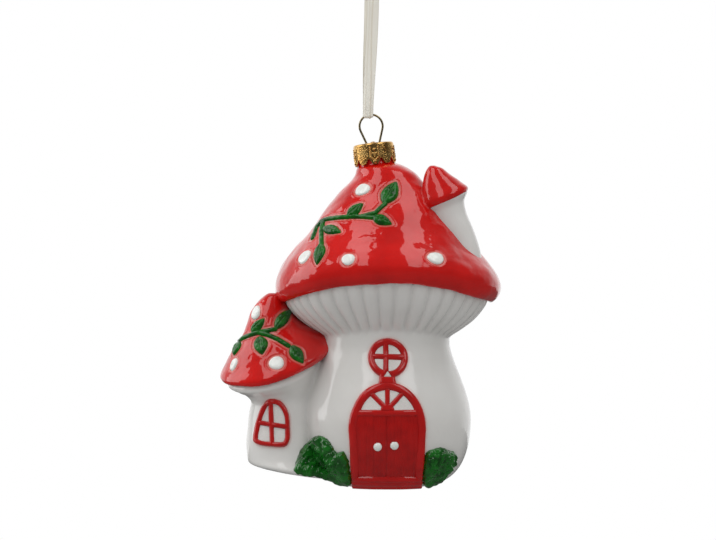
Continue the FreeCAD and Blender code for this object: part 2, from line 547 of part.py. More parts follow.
ring_height = crown_top + size("ring_over_crown")
slot_side, ring_radius = size("slot_side"), size("ring_radius")
reach_out = math.hypot(slot_side, size("ring_over_crown"))
tangent_turn = math.acos(ring_radius / reach_out) - math.atan2(size("ring_over_crown"), slot_side)
leg_top = Vector(ring_radius * math.cos(tangent_turn), 0, ring_height + ring_radius * math.sin(tangent_turn))
leg = rounded([leg_top, Vector(slot_side, 0, crown_top),
               Vector(size("leg_knee_side"), 0, crown_top - size("leg_knee_drop")),
               Vector(size("leg_end_side"), 0, crown_top - size("leg_end_drop"))], size("knee_radius"))
mirror = [edge.mirror(Vector(), X_AXIS) for edge in leg]
ring_top = Vector(0, 0, ring_height + ring_radius)
bow = Part.Arc(Vector(-leg_top.x, 0, leg_top.z), ring_top, leg_top).toShape()
spine = Part.Wire(Part.__sortEdges__(mirror[::-1] + [bow] + leg))
wire_path = feature("wire_path", spine)
wire_rim = primitive("Circle", "wire_rim", Radius="@wire_radius")
tip = spine.OrderedVertexes[0].Point
heading = spine.OrderedEdges[0].tangentAt(spine.OrderedEdges[0].FirstParameter)
wire_rim.Placement = FreeCAD.Placement(tip, FreeCAD.Rotation(Z_AXIS, heading))
hanger_wire = doc.addObject("Part::Sweep", "hanger_wire")
hanger_wire.Sections, hanger_wire.Spine = [wire_rim], (wire_path, ["Edge%d" % (i + 1) for i in
                                                                  range(len(spine.Edges))])
hanger_wire.Solid, hanger_wire.Frenet = True, True
doc.recompute()
hanger_wire.Placement = NECK_PLACE
SUB_PARTS.append(hanger_wire)

# Ribbon: one flat band, looped over the branch and down through the ring, its ends tied in a knot.
hang_top = size("hang_rise")
ROUTE = [(0.5, 0.9), (2.5, 0.3), (2.6, -3.2), (1.6, -12.5), (1.15, -26.0), (1.25, -37.0), (1.3, -42.0)]
route = [Vector(0, across, up) for across, up in ROUTE]
route += [Vector(0, -across, up) for across, up in ROUTE[::-1]]
gather_start, bight = route[4], route[6]
RUN_SHARE, ARC_STEP = 0.45, 22
bend_radii = []


def smoothed(points):
    """Points and headings along a route whose corners are as round as their runs allow."""
    places = [(points[0], (points[1] - points[0]).normalize())]
    for before, corner, after in zip(points, points[1:], points[2:]):
        back, ahead = before - corner, after - corner
        trim = RUN_SHARE * min(back.Length, ahead.Length)
        back, ahead = back.normalize(), ahead.normalize()
        into, out = corner + back * trim, corner + ahead * trim
        half_turn = back.getAngle(ahead) / 2
        radius = trim * math.tan(half_turn)
        bend_radii.append(radius)
        bisector = (back + ahead).normalize()
        nearest = corner + bisector * (radius / math.sin(half_turn) - radius)
        arc = Part.Arc(into, nearest, out)
        pieces = max(1, round(math.degrees(math.pi - 2 * half_turn) / ARC_STEP))
        span = arc.LastParameter - arc.FirstParameter
        for step in range(pieces + 1):
            spot = arc.FirstParameter + span * step / pieces
            places.append((arc.value(spot), arc.tangent(spot)[0]))
    return places + [(points[-1], (points[-1] - points[-2]).normalize())]


def band_width(place):
    """The ribbon's width at a place: full on the straight, gathered round the ring."""
    share = min(1, (place.z - bight.z) / (gather_start.z - bight.z))
    return size("ribbon_gather") + (size("ribbon_width") - size("ribbon_gather")) * share


def band_rim(place, heading):
    """The ribbon's cross section at one place."""
    half, thick = band_width(place) / 2, size("ribbon_thickness") / 2
    over = X_AXIS.cross(heading).normalize() * thick
    lean = (size("bight_side") - size("hang_side")) * (place.z / bight.z)
    middle = Vector(size("hang_side") + lean, place.y, hang_top + place.z)
    corners = [middle + X_AXIS * half + over, middle - X_AXIS * half + over,
               middle - X_AXIS * half - over, middle + X_AXIS * half - over]
    return Part.makePolygon(corners + corners[:1])


stations = smoothed(route)
ribbon = feature("ribbon", Part.makeLoft([band_rim(*station) for station in stations], True, True))
SUB_PARTS.append(ribbon)
runs = [(a, b, (b - a).Length) for (a, _), (b, _) in zip(stations, stations[1:])]
ribbon_length = sum(run for _, _, run in runs)
swept = sum(run * (band_width(a) + band_width(b)) / 2 for a, b, run in runs) * size("ribbon_thickness")
print("ribbon bend radii", [round(radius, 1) for radius in bend_radii], "length", round(ribbon_length, 1))
print("ribbon volume", round(ribbon.Shape.Volume, 1), "section times length", round(swept, 1))

# Knot: the two ends tied in one tight rounded lump, with their short tails standing up out of it.
knot_block = primitive("Box", "knot_block", Length="@knot_width", Width="@knot_depth", Height="@knot_rise")
doc.recompute()
knot_lump = doc.addObject("Part::Fillet", "knot_lump")
knot_lump.Base = knot_block
knot_edges = range(1, len(knot_block.Shape.Edges) + 1)
knot_lump.Edges = [(edge, size("knot_round"), size("knot_round")) for edge in knot_edges]
tails = []
for way in (-1, 1):
    tail = primitive("Box", "tail_%d" % (way + 1), Length="@ribbon_width", Width="@ribbon_thickness",
                     Height="@tail_length")
    spread = FreeCAD.Rotation(Y_AXIS, way * size("tail_spread")).multiply(
        FreeCAD.Rotation(X_AXIS, way * size("tail_tilt")))
    foot = Vector(size("knot_width") / 2, size("knot_depth") / 2, size("knot_rise") / 2)
    tail.Placement = FreeCAD.Placement(
        foot - spread.multVec(Vector(size("ribbon_width") / 2, size("ribbon_thickness") / 2, 0)), spread)
    tails.append(tail)
ribbon_knot = doc.addObject("Part::MultiFuse", "ribbon_knot")
ribbon_knot.Shapes = [knot_lump] + tails
doc.recompute()
ribbon_knot.Placement.Base = Vector(
    size("hang_side") - size("knot_width") / 2, -size("knot_depth") / 2,
    hang_top + route[0].z + size("ribbon_thickness") / 2)
SUB_PARTS.append(ribbon_knot)

# Hand over: every piece is placed under the hanging point, checked and written.
HANG = Vector(-size("hang_side"), 0, -size("hang_rise"))
doc.recompute()
for piece in SUB_PARTS:
    piece.Label = piece.Name
    piece.Placement = FreeCAD.Placement(HANG, FreeCAD.Rotation()).multiply(piece.Placement)
doc.recompute()
for made in doc.Objects:
    if "Invalid" in made.State or "Error" in made.State:
        raise RuntimeError("object failed: " + made.Name)
for piece in SUB_PARTS:
    if piece.Shape.isNull() or not piece.Shape.isValid():
        raise RuntimeError("shape failed: " + piece.Label)
    print(piece.Label, len(piece.Shape.Solids), round(piece.Shape.Volume, 1))
    piece.Shape.exportStep("parts/" + piece.Label + ".step")
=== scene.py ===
import json
import math

import bpy
import numpy as np
from mathutils import Matrix, Vector, noise
from mathutils.bvhtree import BVHTree
from mathutils.kdtree import KDTree


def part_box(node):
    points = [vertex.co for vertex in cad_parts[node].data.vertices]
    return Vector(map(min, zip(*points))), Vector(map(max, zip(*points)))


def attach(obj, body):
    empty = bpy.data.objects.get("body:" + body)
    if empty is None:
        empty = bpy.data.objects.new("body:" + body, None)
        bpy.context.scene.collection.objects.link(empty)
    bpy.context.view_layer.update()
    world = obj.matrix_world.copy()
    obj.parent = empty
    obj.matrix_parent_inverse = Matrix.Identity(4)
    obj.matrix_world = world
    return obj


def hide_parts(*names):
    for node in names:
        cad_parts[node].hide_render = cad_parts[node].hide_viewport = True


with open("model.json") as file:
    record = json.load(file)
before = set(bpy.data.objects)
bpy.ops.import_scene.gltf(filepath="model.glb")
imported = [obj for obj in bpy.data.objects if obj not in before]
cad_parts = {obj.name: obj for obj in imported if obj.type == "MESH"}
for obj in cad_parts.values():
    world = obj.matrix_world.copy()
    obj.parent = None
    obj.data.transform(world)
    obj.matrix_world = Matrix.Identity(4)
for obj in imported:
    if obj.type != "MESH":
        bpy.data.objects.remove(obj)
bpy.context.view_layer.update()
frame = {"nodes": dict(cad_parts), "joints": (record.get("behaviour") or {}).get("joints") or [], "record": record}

# The ornament hangs from its ribbon, and the picture is taken level with it from the front.
# Everything on the moulded house is drawn from one datum, the middle of the door at the foot.
mounts = {mount["name"]: Vector(mount["pos_m"]) for mount in frame["record"]["mounts"]}
datum = mounts["flat_foot"]
CAMERA_FROM_DATUM = Vector((-0.00912, -0.750, 0.0688))
camera_data = bpy.data.cameras.new("camera")
camera_data.sensor_width = 36.0
camera_data.lens = 117.84
camera = bpy.data.objects.new("camera", camera_data)
camera.location = datum + CAMERA_FROM_DATUM
camera.rotation_euler = (math.radians(90), 0, 0)
bpy.context.scene.collection.objects.link(camera)
bpy.context.scene.camera = camera
bpy.context.scene.view_settings.view_transform = "Standard"


# Ribbon: one length of ivory satin about 3.8 mm wide, taken down through the wire ring and back up.
# It lies nearly flat, creases lengthways where it gathers round the ring, and has a firm woven edge.
def node(tree, kind, inputs=None, **settings):
    """Add a shader node, set its properties, then set or link its inputs."""
    made = tree.nodes.new("ShaderNode" + kind)
    for key, value in settings.items():
        setattr(made, key, value)
    for key, value in (inputs or {}).items():
        socket = made.inputs[key]
        if isinstance(value, bpy.types.NodeSocket):
            tree.links.new(value, socket)
        else:
            socket.default_value = value
    return made


def stored(tree, name):
    """The number that a piece's points keep under a name."""
    return node(tree, "Attribute", attribute_name=name).outputs["Fac"]


def calc(tree, operation, first, second=0.0, **settings):
    """The result of one operation on one or two numbers."""
    return node(tree, "Math", {0: first, 1: second}, operation=operation, **settings).outputs[0]


def remap(tree, value, given, wanted=(0.0, 1.0), **settings):
    """A number moved from one range to another and held inside it."""
    ends = {"From Min": given[0], "From Max": given[1], "To Min": wanted[0], "To Max": wanted[1]}
    return node(tree, "MapRange", {"Value": value, **ends}, **settings).outputs[0]


def mixed(tree, share, first, second):
    """A colour between two colours."""
    return node(tree, "Mix", {"Factor": share, "A": first, "B": second}, data_type="RGBA").outputs["Result"]


def mottle(tree, place, scale, detail=2.0):
    """A soft noise between 0 and 1."""
    return node(tree, "TexNoise", {"Vector": place, "Scale": scale, "Detail": detail}).outputs["Fac"]


def bumped(tree, height, strength, distance):
    """The outward direction of a surface that a fine height tilts."""
    inputs = {"Height": height, "Strength": strength, "Distance": distance}
    return node(tree, "Bump", inputs).outputs["Normal"]


def feed(tree, taker, sources):
    """Link each source to a node's input of the same name."""
    for key, source in sources.items():
        tree.links.new(source, taker.inputs[key])


def finish_of(name, values):
    """A new material, its node tree and its shader, with the shader's own values set."""
    made = bpy.data.materials.new(name)
    made.use_nodes = True
    tree = made.node_tree
    shader = tree.nodes["Principled BSDF"]
    for key, value in values.items():
        shader.inputs[key].default_value = value
    return made, tree, shader


def mesh_piece(name, points, faces, body, slot, material):
    """A mesh object of points and faces that rides on a body and wears a material."""
    data = bpy.data.meshes.new(name)
    data.from_pydata([tuple(p) for p in points], [], [tuple(f) for f in faces])
    data.validate()
    data.update()
    data.shade_smooth()
    piece = bpy.data.objects.new(name, data)
    bpy.context.scene.collection.objects.link(piece)
    piece.data.materials.append(material)
    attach(piece, body)
    return piece


def store(piece, name, values):
    """Keep one number for each point of a piece, for its material to read."""
    attribute = piece.data.attributes.new(name, "FLOAT", "POINT")
    attribute.data.foreach_set("value", np.asarray(values, np.float32).ravel())


def line_through(control_points):
    """Points along the smooth line that a run of control points guides."""
    data = bpy.data.curves.new("guide", "CURVE")
    data.dimensions = "3D"
    spline = data.splines.new("NURBS")
    spline.points.add(len(control_points) - 1)
    for point, place in zip(spline.points, control_points):
        point.co = (*place, 1)
    spline.order_u = 3
    spline.use_endpoint_u = True
    spline.resolution_u = 12
    guide = bpy.data.objects.new("guide", data)
    bpy.context.scene.collection.objects.link(guide)
    bpy.context.view_layer.update()
    mesh = bpy.data.meshes.new_from_object(guide)
    line = [v.co.copy() for v in mesh.vertices]
    bpy.data.objects.remove(guide)
    bpy.data.meshes.remove(mesh)
    return line


satin, tree, shader = finish_of("ivory_satin", {
    "Roughness": 0.46, "Sheen Weight": 0.35, "Sheen Roughness": 0.4, "Specular IOR Level": 0.35})
across = stored(tree, "across")
threads = node(tree, "CombineXYZ", {"X": across, "Y": stored(tree, "along")}).outputs[0]
stretched = node(tree, "VectorMath", {0: threads, 1: (9, 60, 1)}, operation="MULTIPLY").outputs[0]
weft = node(tree, "TexWave", {"Vector": threads, "Scale": 1400.0, "Distortion": 0.4}, bands_direction="Y")
selvedge = remap(tree, calc(tree, "ABSOLUTE", across), (0.86, 0.98))
ivory = mixed(tree, mottle(tree, stretched, 1.0), (0.87, 0.84, 0.74, 1), (0.95, 0.93, 0.85, 1))
edged = mixed(tree, selvedge, ivory, (0.78, 0.74, 0.64, 1))
# Painted shade: the satin is coloured darker and browner in its creases and where the knot's bands tuck in.
crease_shaded = mixed(tree, stored(tree, "crease_shade"), edged, (0.66, 0.58, 0.44, 1))
feed(tree, shader, {"Base Color": crease_shaded, "Normal": bumped(tree, weft.outputs["Fac"], 0.35, 0.00003)})

RIBBON_WIDTH = 0.0038
RIBBON_GATHER = 0.0033
RIBBON_THICKNESS = 0.00022
RIBBON_STEPS = 260
RIBBON_COLUMNS = 29
GATHER_REACH = 0.012
CUP_DEPTH = 0.00022
CREASE_DEPTH = 0.00016
RIBBON_TWIST, RIBBON_SWAY = 0.20, 0.00042
RIM_SWELL, RIM_START = 1.5, 0.93
ribbon_route = [(0, 0.5, 0.9), (0, 2.5, 0.3), (-0.1, 2.6, -3.2), (-0.3, 1.6, -12.5), (-0.9, 1.15, -26.0),
                (-1.25, 1.0, -37.0), (-1.3, 0.65, -40.4), (-1.3, 0.60, -41.4)]
front_strand = [(x / 1000, -y / 1000, z / 1000) for x, y, z in ribbon_route]
back_strand = [(x / 1000, y / 1000, z / 1000) for x, y, z in ribbon_route]
ribbon_line = line_through(front_strand + back_strand[::-1])
lengths = [0.0]
for before, after in zip(ribbon_line, ribbon_line[1:]):
    lengths.append(lengths[-1] + (after - before).length)
RIBBON_LENGTH = lengths[-1]
ribbon_stations = []
for step in range(RIBBON_STEPS + 1):
    wanted = RIBBON_LENGTH * step / RIBBON_STEPS
    index = min(np.searchsorted(lengths, wanted, side="right") - 1, len(lengths) - 2)
    share = (wanted - lengths[index]) / (lengths[index + 1] - lengths[index])
    ribbon_stations.append((wanted, ribbon_line[index].lerp(ribbon_line[index + 1], share)))


def even_steps(count):
    """Even steps from -1 to 1."""
    return [2 * step / (count - 1) - 1 for step in range(count)]


def satin_piece(name, sheets):
    """A piece of closed satin sheets, each given as rows of cells, a thickness and whether it closes round.

    A cell is a place, the outward direction there, and the numbers across, along and the share of painted crease
    shade."""
    points, faces, numbers = [], [], []
    for grid, thickness, closed_round in sheets:
        rows, wide, start = len(grid), len(grid[0]), len(points)
        back = rows * wide
        cells = [cell for row in grid for cell in row]
        for side in (0.5, -0.5):
            points += [place + outward * side * thickness for place, outward, *_ in cells]
            numbers += [cell[2:] for cell in cells]
        for r in range(rows if closed_round else rows - 1):
            low, high = start + r * wide, start + (r + 1) % rows * wide
            for c in range(wide - 1):
                a, b = low + c, high + c
                faces.append((a, a + 1, b + 1, b))
                faces.append((back + b, back + b + 1, back + a + 1, back + a))
            for c in (0, wide - 1):
                quad = (low + c, high + c, back + high + c, back + low + c)
                faces.append(quad if c == 0 else quad[::-1])
        if not closed_round:
            for r in (0, rows - 1):
                for a in range(start + r * wide, start + (r + 1) * wide - 1):
                    quad = (a, back + a, back + a + 1, a + 1)
                    faces.append(quad if r == 0 else quad[::-1])
    piece = mesh_piece(name, points, faces, "ribbon_loop", "satin_ribbon", satin)
    for number, key in enumerate(("across", "along", "crease_shade")):
        store(piece, key, [cell[number] for cell in numbers])
    return piece


ribbon_rows = []
for step, (distance, centre) in enumerate(ribbon_stations):
    ahead = ribbon_stations[min(step + 1, RIBBON_STEPS)][1] - ribbon_stations[max(step - 1, 0)][1]
    over = Vector((1, 0, 0)).cross(ahead).normalized()
    near_ring = math.exp(-((distance - RIBBON_LENGTH / 2) / GATHER_REACH) ** 2)
    half = (RIBBON_WIDTH + (RIBBON_GATHER - RIBBON_WIDTH) * near_ring) / 2
    twist = RIBBON_TWIST * math.sin(distance * 95) * (1 - near_ring)
    shift = RIBBON_SWAY * math.cos(math.pi * distance / RIBBON_LENGTH) * (1 - near_ring)
    row = []
    for share in even_steps(RIBBON_COLUMNS)[::-1]:
        fold = math.exp(-((share - 0.15 + 0.25 * math.sin(distance * 120)) / 0.13) ** 2)
        fold += 0.6 * math.exp(-((share + 0.55) / 0.10) ** 2)
        cup = CUP_DEPTH * (share ** 2 - 0.4) * (1 + near_ring) - CREASE_DEPTH * fold * (0.5 + near_ring)
        place = centre + Vector((half * share + shift, 0, 0)) + over * (cup + twist * half * share)
        rim = RIM_SWELL if abs(share) > RIM_START else 1.0
        row.append((place, over * rim, share, distance, min(1, 0.55 * fold)))
    ribbon_rows.append(row)
ribbon = satin_piece("ribbon_band", [(ribbon_rows, RIBBON_THICKNESS, False)])
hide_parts("ribbon")

# Ribbon knot: the two ends tied together over the loop, a tight lump with two bands drawn across it.
# Its two tails stand up and spread, cut on the slant as a ribbon is.
knot_low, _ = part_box("ribbon_knot")
KNOT_HALF = Vector((0.0024, 0.0017, 0.0018))
KNOT_ROW = 0.0002
LUMP_ROWS, LUMP_COLUMNS, LUMP_THICKNESS = 40, 25, 0.0005
WRAP_ROWS, WRAP_COLUMNS, WRAP_THICKNESS = 56, 13, 0.00028
TAIL_ROWS, TAIL_COLUMNS, TAIL_LENGTH = 30, 15, 0.0072
knot_centre = Vector((0, 0, knot_low.z + KNOT_HALF.z))


def on_knot(away, grow):
    """The place on the knot in a direction from its middle, drawn in or out by a factor."""
    return knot_centre + Vector([way * half for way, half in zip(away, KNOT_HALF)]) * grow


lump = []
for r in range(LUMP_ROWS):
    turn = math.tau * r / LUMP_ROWS
    row = []
    for share in even_steps(LUMP_COLUMNS):
        rise = 0.47 * math.pi * share
        puff = 1 + 0.07 * math.cos(3 * turn + 4 * rise) + 0.05 * math.sin(5 * turn - 2 * rise)
        away = Vector((math.cos(rise) * math.cos(turn), math.cos(rise) * math.sin(turn), math.sin(rise)))
        row.append((on_knot(away, 0.86 * puff), away, share, r * KNOT_ROW, 0.35 + 0.3 * math.sin(share * 14)))
    lump.append(row)
knot_sheets = [(lump, LUMP_THICKNESS, True)]
for tilt, breadth, grow in ((0.35, 0.42, 0.98), (-0.75, 0.36, 1.02)):
    wrap = []
    for r in range(WRAP_ROWS):
        turn = math.tau * r / WRAP_ROWS
        row = []
        for share in even_steps(WRAP_COLUMNS):
            away = Vector((math.cos(turn), 0, math.sin(turn))) * math.cos(share * breadth)
            away += Vector((0, 1, 0)) * math.sin(share * breadth)
            away = Matrix.Rotation(tilt + math.pi / 2, 3, "Z") @ away
            place = on_knot(away, grow + 0.03 * math.cos(share * 9))
            row.append((place, away, share, r * KNOT_ROW, 0.4 * abs(share) ** 3))
        wrap.append(row)
    knot_sheets.append((wrap, WRAP_THICKNESS, True))
tail_out = Vector((0, -1, 0.1)).normalized()
for way in (-1, 1):
    tail = []
    for r in range(TAIL_ROWS):
        up = r / (TAIL_ROWS - 1)
        lean = way * (0.12 + 0.35 * up)
        half = RIBBON_WIDTH / 2 * (0.55 + 0.45 * min(1, up * 2.2))
        row = []
        for share in even_steps(TAIL_COLUMNS):
            curl = 0.00035 * math.cos(share * 2.6) * (1 - 0.4 * up)
            slant = 0.0006 * way * share * up
            place = knot_centre + Vector((
                math.sin(lean) * TAIL_LENGTH * up + share * half * math.cos(lean),
                way * (0.0004 + 0.0016 * up ** 1.5) - curl,
                math.cos(lean) * TAIL_LENGTH * up + slant - share * half * math.sin(lean) * 0.6))
            row.append((place, tail_out, share, r * KNOT_ROW, 0.5 * math.exp(-((share - 0.2) / 0.2) ** 2)))
        tail.append(row)
    knot_sheets.append((tail, RIBBON_THICKNESS, False))
knot = satin_piece("ribbon_tied_knot", knot_sheets)
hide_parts("ribbon_knot")

# Spring wire: one bronze-coloured spring wire bent to a ring, whose legs go down through the crown.
# The bent wire is right as it comes, so it only gets its finish: a metal with a fine grain and tarnish.
def brushed_metal(name, bright, dark, roughness, grain):
    """A metal finish whose colour and roughness vary with a fine grain and a slow tarnish."""
    made, tree, shader = finish_of(name, {"Metallic": 1.0})
    place = node(tree, "TexCoord").outputs["Object"]
    tarnish = remap(tree, mottle(tree, place, 420.0, 4.0), (0.35, 0.7))
    fine = mottle(tree, place, grain)
    feed(tree, shader, {
        "Base Color": mixed(tree, tarnish, (*bright, 1), (*dark, 1)),
        "Roughness": remap(tree, fine, (0.0, 1.0), (roughness * 0.7, roughness * 1.5)),
        "Normal": bumped(tree, fine, 0.5, 0.00003)})
    return made


spring_bronze = brushed_metal("bronze_spring_wire", (0.52, 0.43, 0.25), (0.26, 0.20, 0.11), 0.24, 3000.0)
hanger = frame["nodes"]["hanger_wire"]
hanger.data.materials.clear()
hanger.data.materials.append(spring_bronze)
hanger.data.shade_smooth()

# Crown: a cup stamped from thin gold-coloured sheet, pushed over the neck, with ten pointed scallops.
# Every second scallop carries a stamped motif of beads; the ones between are finely pebbled.
# A bead gives how far it is across the scallop and over its foot, its radius, and how far it stands out.
house_turn = next(joint for joint in frame["joints"] if joint["name"] == "house_turn")
neck_axis = Vector(house_turn["axis"]).normalized()
neck_side = Vector((0, 1, 0)).cross(neck_axis).normalized()
neck_frame = Matrix((neck_side, (0, 1, 0), neck_axis)).transposed().to_4x4()
neck_frame.translation = Vector(house_turn["pos_m"])
CROWN_RADIUS = 0.0064
CROWN_FOOT = 0.0003
CROWN_TOP = 0.0070
CROWN_SHEET = 0.0004
CROWN_SHOULDER = 0.0007
SCALLOPS = 10
SCALLOP_DEEP = 0.0017
SCALLOP_POINT = 0.00015
CROWN_FLARE = 0.00022
PEBBLE_LIFT, PEBBLES = 0.00011, 3600
BRIDGE_HALF, BRIDGE_DEEP, BRIDGE_RISE = 0.00125, 0.0008, 0.0006
CROWN_STEPS, WALL_RINGS, SHOULDER_RINGS, TOP_RINGS = 480, 64, 8, 26
SLOT_SIDE, SLOT_HALF, SLOT_DEEP, SLOT_REACH = 0.0020, 0.0006, 0.00095, 0.001
beads = [(0.0, 0.00075, 0.00056, 0.00046), (0.0, 0.00445, 0.00048, 0.00042)]
for way in (-1, 1):
    beads += [(way * 0.00128, 0.0027 + 0.00062 * step, 0.00031, 0.00032) for step in range(5)]
    beads += [(way * (0.00128 - 0.00042 * step), 0.00215 - 0.0004 * step, 0.0003, 0.0003)
              for step in range(3)]
    beads.append((way * 0.0005, 0.0033, 0.00032, 0.0003))
beads += [(0.0, 0.0031 - 0.0005 * step, 0.00044 - 0.0001 * step, 0.00036) for step in range(3)]


def stamped(turn, height):
    """How far the stamp pushes the sheet outwards at a turn and a height over the foot."""
    panel = round(turn / math.tau * SCALLOPS)
    along_panel = (turn - panel * math.tau / SCALLOPS) * CROWN_RADIUS
    if panel % 2:
        return PEBBLE_LIFT * noise.noise(Vector((along_panel, height, panel)) * PEBBLES)
    lift = 0.0
    for across, up, radius, rise in beads:
        reach = ((along_panel - across) ** 2 + (height - up) ** 2) / radius ** 2
        if reach < 1:
            lift = max(lift, rise * math.sqrt(1 - reach))
    return lift


def round_neck(turn, radius, height):
    """A place round the neck's axis, at a turn from the front."""
    return Vector((radius * math.sin(turn), -radius * math.cos(turn), height))


def closed_tube(rings):
    """Points and faces of a closed skin through rings of points, its two ends filled."""
    wide = len(rings[0])
    last = (len(rings) - 1) * wide
    faces = []
    for a in range(last):
        d = a + 1 if (a + 1) % wide else a + 1 - wide
        faces.append((a, d, d + wide, a + wide))
    faces.append(tuple(range(wide))[::-1])
    faces.append(tuple(range(last, last + wide)))
    return [place for ring in rings for place in ring], faces


def joined(skins):
    """Several skins' points and faces as one."""
    points, faces = [], []
    for skin_points, skin_faces in skins:
        start = len(points)
        points += skin_points
        faces += [tuple(start + i for i in face) for face in skin_faces]
    return points, faces


def settle(piece):
    """Give a piece the mesh that its modifiers make, and drop the modifiers."""
    bpy.context.view_layer.update()
    shaped = bpy.data.meshes.new_from_object(piece.evaluated_get(bpy.context.evaluated_depsgraph_get()))
    piece.modifiers.clear()
    piece.data = shaped


crown_turns = [math.tau * step / CROWN_STEPS for step in range(CROWN_STEPS)]
outer_rings = []
for level in range(WALL_RINGS + 1):
    ring = []
    for turn in crown_turns:
        split = abs(math.sin(SCALLOPS * turn / 2))
        foot = SCALLOP_DEEP * split ** 5 - SCALLOP_POINT * (1 - split)
        height = foot + (CROWN_TOP - CROWN_FOOT - CROWN_SHOULDER - foot) * level / WALL_RINGS
        flare = CROWN_FLARE * (1 - height / CROWN_TOP) ** 2
        ring.append(round_neck(turn, CROWN_RADIUS + flare + stamped(turn, height), CROWN_FOOT + height))
    outer_rings.append(ring)
for step in range(1, SHOULDER_RINGS + 1):
    bend = math.pi / 2 * step / SHOULDER_RINGS
    radius = CROWN_RADIUS - CROWN_SHOULDER * (1 - math.cos(bend))
    height = CROWN_TOP - CROWN_SHOULDER * (1 - math.sin(bend))
    outer_rings.append([round_neck(turn, radius, height) for turn in crown_turns])
for step in range(1, TOP_RINGS):
    radius = (CROWN_RADIUS - CROWN_SHOULDER) * (1 - step / TOP_RINGS)
    height = CROWN_TOP + 0.00008 * math.cos(radius * 2600)
    ring = [round_neck(turn, radius, height) for turn in crown_turns]
    for place in ring:
        ridge = max(0.0, 1 - (place.x / BRIDGE_HALF) ** 2 - (place.y / BRIDGE_DEEP) ** 4)
        place.z += BRIDGE_RISE * math.sqrt(ridge)
    outer_rings.append(ring)
inner_rings = []
for ring in outer_rings[::-1]:
    inner = []
    for place in ring:
        radius = math.hypot(place.x, place.y)
        shrunk = max(min(radius, CROWN_RADIUS) - CROWN_SHEET, 0.0001) / radius
        inner.append(Vector((place.x * shrunk, place.y * shrunk, min(place.z, CROWN_TOP - CROWN_SHEET))))
    inner_rings.append(inner)
crown_points, crown_faces = closed_tube(inner_rings + outer_rings)
gold = brushed_metal("stamped_gold_sheet", (0.86, 0.54, 0.18), (0.60, 0.30, 0.08), 0.22, 5200.0)
crown = mesh_piece("crown_stamped_cup", [neck_frame @ place for place in crown_points], crown_faces,
                   "crown", "gold_crown", gold)
slot_boxes = []
for way in (-1, 1):
    left, right = way * SLOT_SIDE - SLOT_HALF, way * SLOT_SIDE + SLOT_HALF
    corners = [(left, -SLOT_DEEP), (right, -SLOT_DEEP), (right, SLOT_DEEP), (left, SLOT_DEEP)]
    slot_boxes.append(closed_tube([[neck_frame @ Vector((x, y, z)) for x, y in corners]
                                   for z in (CROWN_TOP - SLOT_REACH, CROWN_TOP + SLOT_REACH)]))
slot_points, slot_faces = joined(slot_boxes)
slot_data = bpy.data.meshes.new("slots")
slot_data.from_pydata([tuple(p) for p in slot_points], [], slot_faces)
slot_cutter = bpy.data.objects.new("slots", slot_data)
bpy.context.scene.collection.objects.link(slot_cutter)
slots = crown.modifiers.new("slots", "BOOLEAN")
slots.object, slots.operation, slots.solver = slot_cutter, "DIFFERENCE", "EXACT"
settle(crown)
bpy.data.objects.remove(slot_cutter)
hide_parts("crown")

# Main cap: a hollow red-glazed bell with a thick rolled lip that arches up at the front and back.
# The chimney's cap is luted to its right slope, and the glaze has run the joint between them soft.
DEPTH_SHARE = 0.85
BRIM_WAVE = 0.0060


def smooth_rows(form, count):
    """A form's rows at many even steps along a smooth line through the given ones."""
    plain = (0, 0, 0, 0, 0, 0, form["depth"])
    rows = np.array([row + plain[len(row):] for row in form["rows"]], float)
    steps = np.hypot(np.diff(rows[:, 0]), np.diff(rows[:, 2] - rows[:, 1]) / 2) + 1e-4
    run = np.concatenate([[0], np.cumsum(steps)])
    slope = np.zeros_like(rows)
    ahead = np.diff(rows, axis=0) / np.diff(run)[:, None]
    slope[1:-1] = (ahead[:-1] * np.diff(run)[1:, None] + ahead[1:] * np.diff(run)[:-1, None]) / (
        np.diff(run)[1:] + np.diff(run)[:-1])[:, None]
    slope[0], slope[-1] = ahead[0], ahead[-1]
    wanted = np.linspace(0, run[-1], count)
    index = np.clip(np.searchsorted(run, wanted, side="right") - 1, 0, len(run) - 2)
    gap = np.diff(run)[index]
    t = ((wanted - run[index]) / gap)[:, None]
    gap = gap[:, None]
    return ((2 * t ** 3 - 3 * t ** 2 + 1) * rows[index] + (t ** 3 - 2 * t ** 2 + t) * gap * slope[index]
            + (3 * t ** 2 - 2 * t ** 3) * rows[index + 1] + (t ** 3 - t ** 2) * gap * slope[index + 1])


def form_skin(form, turns=240, levels=120):
    """A closed skin through the ovals of a form.

    A row gives an oval's height and its left and right ends, then its wave, lean, pitch and depth where
    it has them, all as shares of the form's own sizes."""
    turn = math.tau * np.arange(turns) / turns
    rings = []
    for rise, left, right, wave, lean, pitch, depth in smooth_rows(form, levels):
        across = form["half"] * (right - left) / 2
        x, y = across * np.cos(turn), across * depth * np.sin(turn)
        z = form["foot"] + form["rise"] * rise + BRIM_WAVE * wave * np.sin(turn) ** 2 + lean * x + pitch * y
        x += form["side"] + form["half"] * (left + right) / 2
        rings.append([datum + Vector(place) for place in np.stack([x, y - form["front"], z], 1)])
    return closed_tube(rings)


def fused(name, skins, cell, body, slot, material):
    """One closed skin over several closed forms, as one coat of glaze covers luted castings."""
    piece = mesh_piece(name, *joined(skins), body, slot, material)
    remesh = piece.modifiers.new("skin", "REMESH")
    remesh.mode, remesh.voxel_size, remesh.use_smooth_shade = "VOXEL", cell, True
    settle(piece)
    return piece


def soften(piece, rounds, group=""):
    """Average a piece's points with their neighbours, by a group's weights if one is named."""
    soft = piece.modifiers.new("soft", "SMOOTH")
    soft.factor, soft.iterations, soft.vertex_group = 0.5, rounds, group
    settle(piece)


